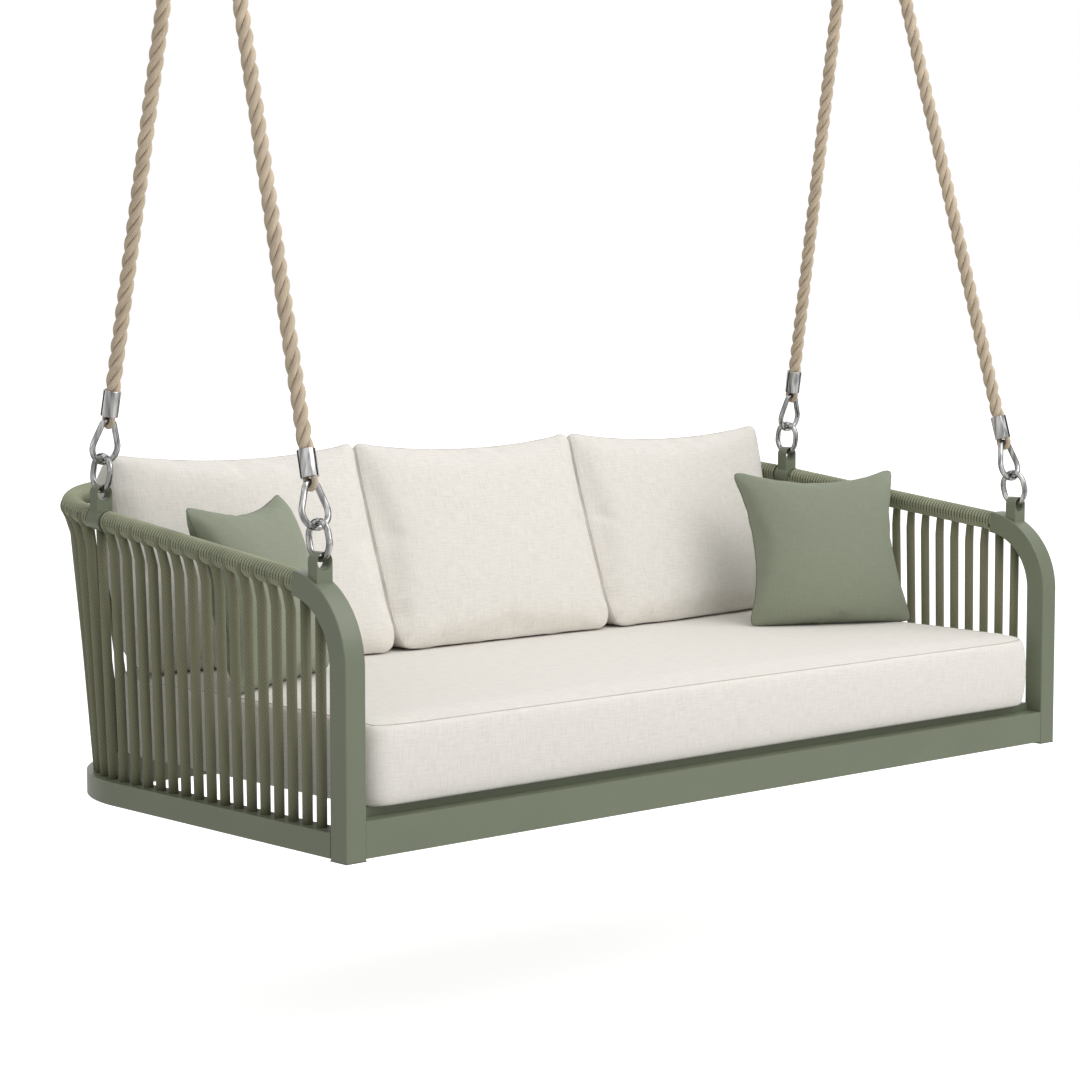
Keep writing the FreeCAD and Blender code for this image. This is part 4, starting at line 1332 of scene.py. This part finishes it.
seat_rows = [seat_row(share, roll) for share, roll in zip(strip_shares, strip_rolls)]
seat_cover = Cover(seat_rows, seat_crowns, seat_counts)
seat_filled = stuff(seat_cover, seat_cover.below(seat_low + seat_floor_band), **seat_filling)
rim_height = seat_high - seat_rim_room
room = seat_high - rim_height
seat_z = seat_filled[:, 2]
over = np.maximum(seat_z - rim_height, 0.0)
seat_z = np.where(over > 0, rim_height + room * (1 - np.exp(-over / room)), seat_z)
seat_z = np.maximum(seat_z, seat_low)
lift = np.clip((seat_z - seat_low) / (seat_high - seat_low), 0.0, 1.0)
at_front = np.exp(-(seat_filled[:, 1] - seat_front) / seat_front_fade)
at_side = np.exp(-(seat_half - np.abs(seat_filled[:, 0])) / seat_side_fade)
rise = seat_side_rise * at_side * (1 - at_front) - seat_front_drop * at_front
seat_filled[:, 2] = seat_z + lift * rise
seat_place = Matrix.Translation((0, front_y, base_z))
sew_cushion("seat_cushion", seat_cover, seat_place, seat_filled, linen, seat_seam,
            [seat_cover.front_loop, seat_cover.back_loop], seat_pucker)

# %% [markdown]
# ## The back cushions
#
# Three box cushions lean on the cords. Each has a fuller front panel than back panel, sides that draw
# together to the back and a top edge that dips between its two corners. The outer two taper where the
# frame's corner rounds behind them. All stand on the seat with flat feet, which come forward.

# %% Back cushions
back_pitch = 0.648
back_half = 0.3243
back_height = 0.474
back_thick = 0.232
back_recline = 14.5
back_foot_y = 0.775
back_foot_z = 0.2566
back_side_taper = 0.024
back_corner_taper = 0.165
back_foot_share = 0.26
back_head_share = 0.17
back_corner_radii = (0.046, 0.015)
back_corner_growth = (0.020, 0.045)
back_top_dip = 0.021
back_crowns = (low_crown(height=0.030, power=2.6), low_crown(height=0.004, power=4))
back_held_share = 0.9
back_foot_push = 0.044
back_outer_ease = 0.3
back_sink = 0.007
back_sink_share = 4
back_shoulder = 0.045
back_counts = (46, 34)
back_depths = (0.0, 0.04, 0.12, 0.24, 0.36, 0.48, 0.60, 0.72, 0.84, 0.94, 1.0)
taper_depths = (0.0, 0.12, 0.45, 0.80, 1.0)
taper_shares = (0.0, 0.02, 0.20, 0.62, 1.0)
back_slack = 0.009
back_slack_step = 0.001
back_filling = {
    "pressure": 3.2,
    "front_limits": ((-0.008, 0.008), (-0.008, 0.008), (-0.006, 0.014)),
    "other_limits": ((-0.0006, 0.0006), (-0.008, 0.008), (-0.002, 0.002)),
}
back_pucker = {"depth": 0.0030, "spread": 0.026, "spacing": 0.048}
back_seed = 11.7
back_seed_step = 5.3
back_tapers = {
    "left": (back_corner_taper, back_side_taper),
    "middle": (back_side_taper, back_side_taper),
    "right": (back_side_taper, back_corner_taper),
}


def back_row(share, tapers):
    taper = float(np.interp(share, taper_depths, taper_shares))
    low = back_foot_share * back_thick * share
    high = back_height - back_head_share * back_height * share
    radii = [radius + more * share for radius, more in zip(back_corner_radii, back_corner_growth)]
    loop = outline(-back_half + taper * tapers[0], back_half - taper * tapers[1], low, high, radii,
                   (0.0, 0.0, back_top_dip * (1 - share), 0.0), back_counts)
    return at_height(loop, -share * back_thick)


lean = Matrix.Rotation(math.radians(90 - back_recline), 4, "X")
for index, (side_name, tapers) in enumerate(back_tapers.items()):
    hand = index - 1
    cover = Cover([back_row(share, tapers) for share in back_depths], back_crowns, back_counts)
    held = cover.below(-back_held_share * back_thick)
    filled = stuff(cover, held, slack=back_slack + back_slack_step * index, **back_filling)
    rise = filled[:, 1] / back_height
    depth = np.clip(1 + filled[:, 2] / back_thick, 0.0, 1.0)
    inner = np.clip(1 - back_outer_ease * abs(hand) - hand * filled[:, 0] / back_half, 0.0, 1.0)
    push = back_foot_push * np.clip(1 - rise, 0.0, 1.0) * depth * inner
    sink = back_sink * np.clip(1 - back_sink_share * rise, 0.0, 1.0)
    filled[:, 2] += push
    filled[:, 1] -= push * math.tan(math.radians(back_recline)) + sink
    outer = np.clip(filled[:, 0] * hand / back_half, 0.0, 1.0) ** 2
    filled[:, 0] += hand * back_shoulder * outer * np.clip(rise, 0.0, 1.0) * (1 - depth)
    foot = Matrix.Translation((hand * back_pitch, front_y + back_foot_y, base_z + back_foot_z))
    pucker = {**back_pucker, "seed": back_seed + back_seed_step * index}
    sew_cushion("back_cushion_" + side_name, cover, foot @ lean, flat_foot(filled, lean),
                linen, linen_seam, [cover.front_loop, cover.back_loop], pucker)

# %% [markdown]
# ## The throw pillows
#
# A throw pillow is two square panels with one seam, so it has no strip. It is thick in the middle and
# thin at its corners, which stand out as soft points. Both lean at an angle in the sofa's corners.

# %% Throw pillows
pillow_width = 0.414
pillow_height = 0.388
pillow_foot_z = 0.2522
pillow_corner = 0.016
pillow_draws = (-0.005, 0.024, 0.026, 0.024)
pillow_crowns = (low_crown(height=0.078, power=2.2), low_crown(height=0.048, power=2))
pillow_counts = (44, 42)
pillow_slack = 0.016
pillow_slack_step = 0.003
pillow_limits = ((-0.008, 0.008), (-0.008, 0.008), (-0.009, 0.009))
pillow_filling = {"pressure": 3.0, "front_limits": pillow_limits, "other_limits": pillow_limits}
pillow_pucker = {"depth": 0.0030, "spread": 0.020, "spacing": 0.036}
pillow_seed = 23.0
pillow_seed_step = 4.1
pillow_spots = {
    "left": (-0.787, 0.533, 26.0, 17.0),
    "right": (0.772, 0.445, -27.0, 21.0),
}
pillow_rim = outline(-pillow_width / 2, pillow_width / 2, 0.0, pillow_height,
                     (pillow_corner, pillow_corner), pillow_draws, pillow_counts)
pillow_corners = np.cumsum((0,) + pillow_counts + pillow_counts[:1])
for index, (side_name, (x, y, turn, recline)) in enumerate(pillow_spots.items()):
    cover = Cover([at_height(pillow_rim, 0.0)], pillow_crowns, pillow_counts)
    held = [cover.front_loop[corner] for corner in pillow_corners]
    filled = stuff(cover, held, slack=pillow_slack + pillow_slack_step * index, **pillow_filling)
    leaning = Matrix.Rotation(math.radians(90 - recline), 4, "X")
    stand = Matrix.Rotation(math.radians(turn), 4, "Z") @ leaning
    foot = Matrix.Translation((x, front_y + y, base_z + pillow_foot_z))
    pucker = {**pillow_pucker, "seed": pillow_seed + pillow_seed_step * index}
    sew_cushion("throw_pillow_" + side_name, cover, foot @ stand, flat_foot(filled, stand),
                heather, heather_seam, [cover.front_loop], pucker)
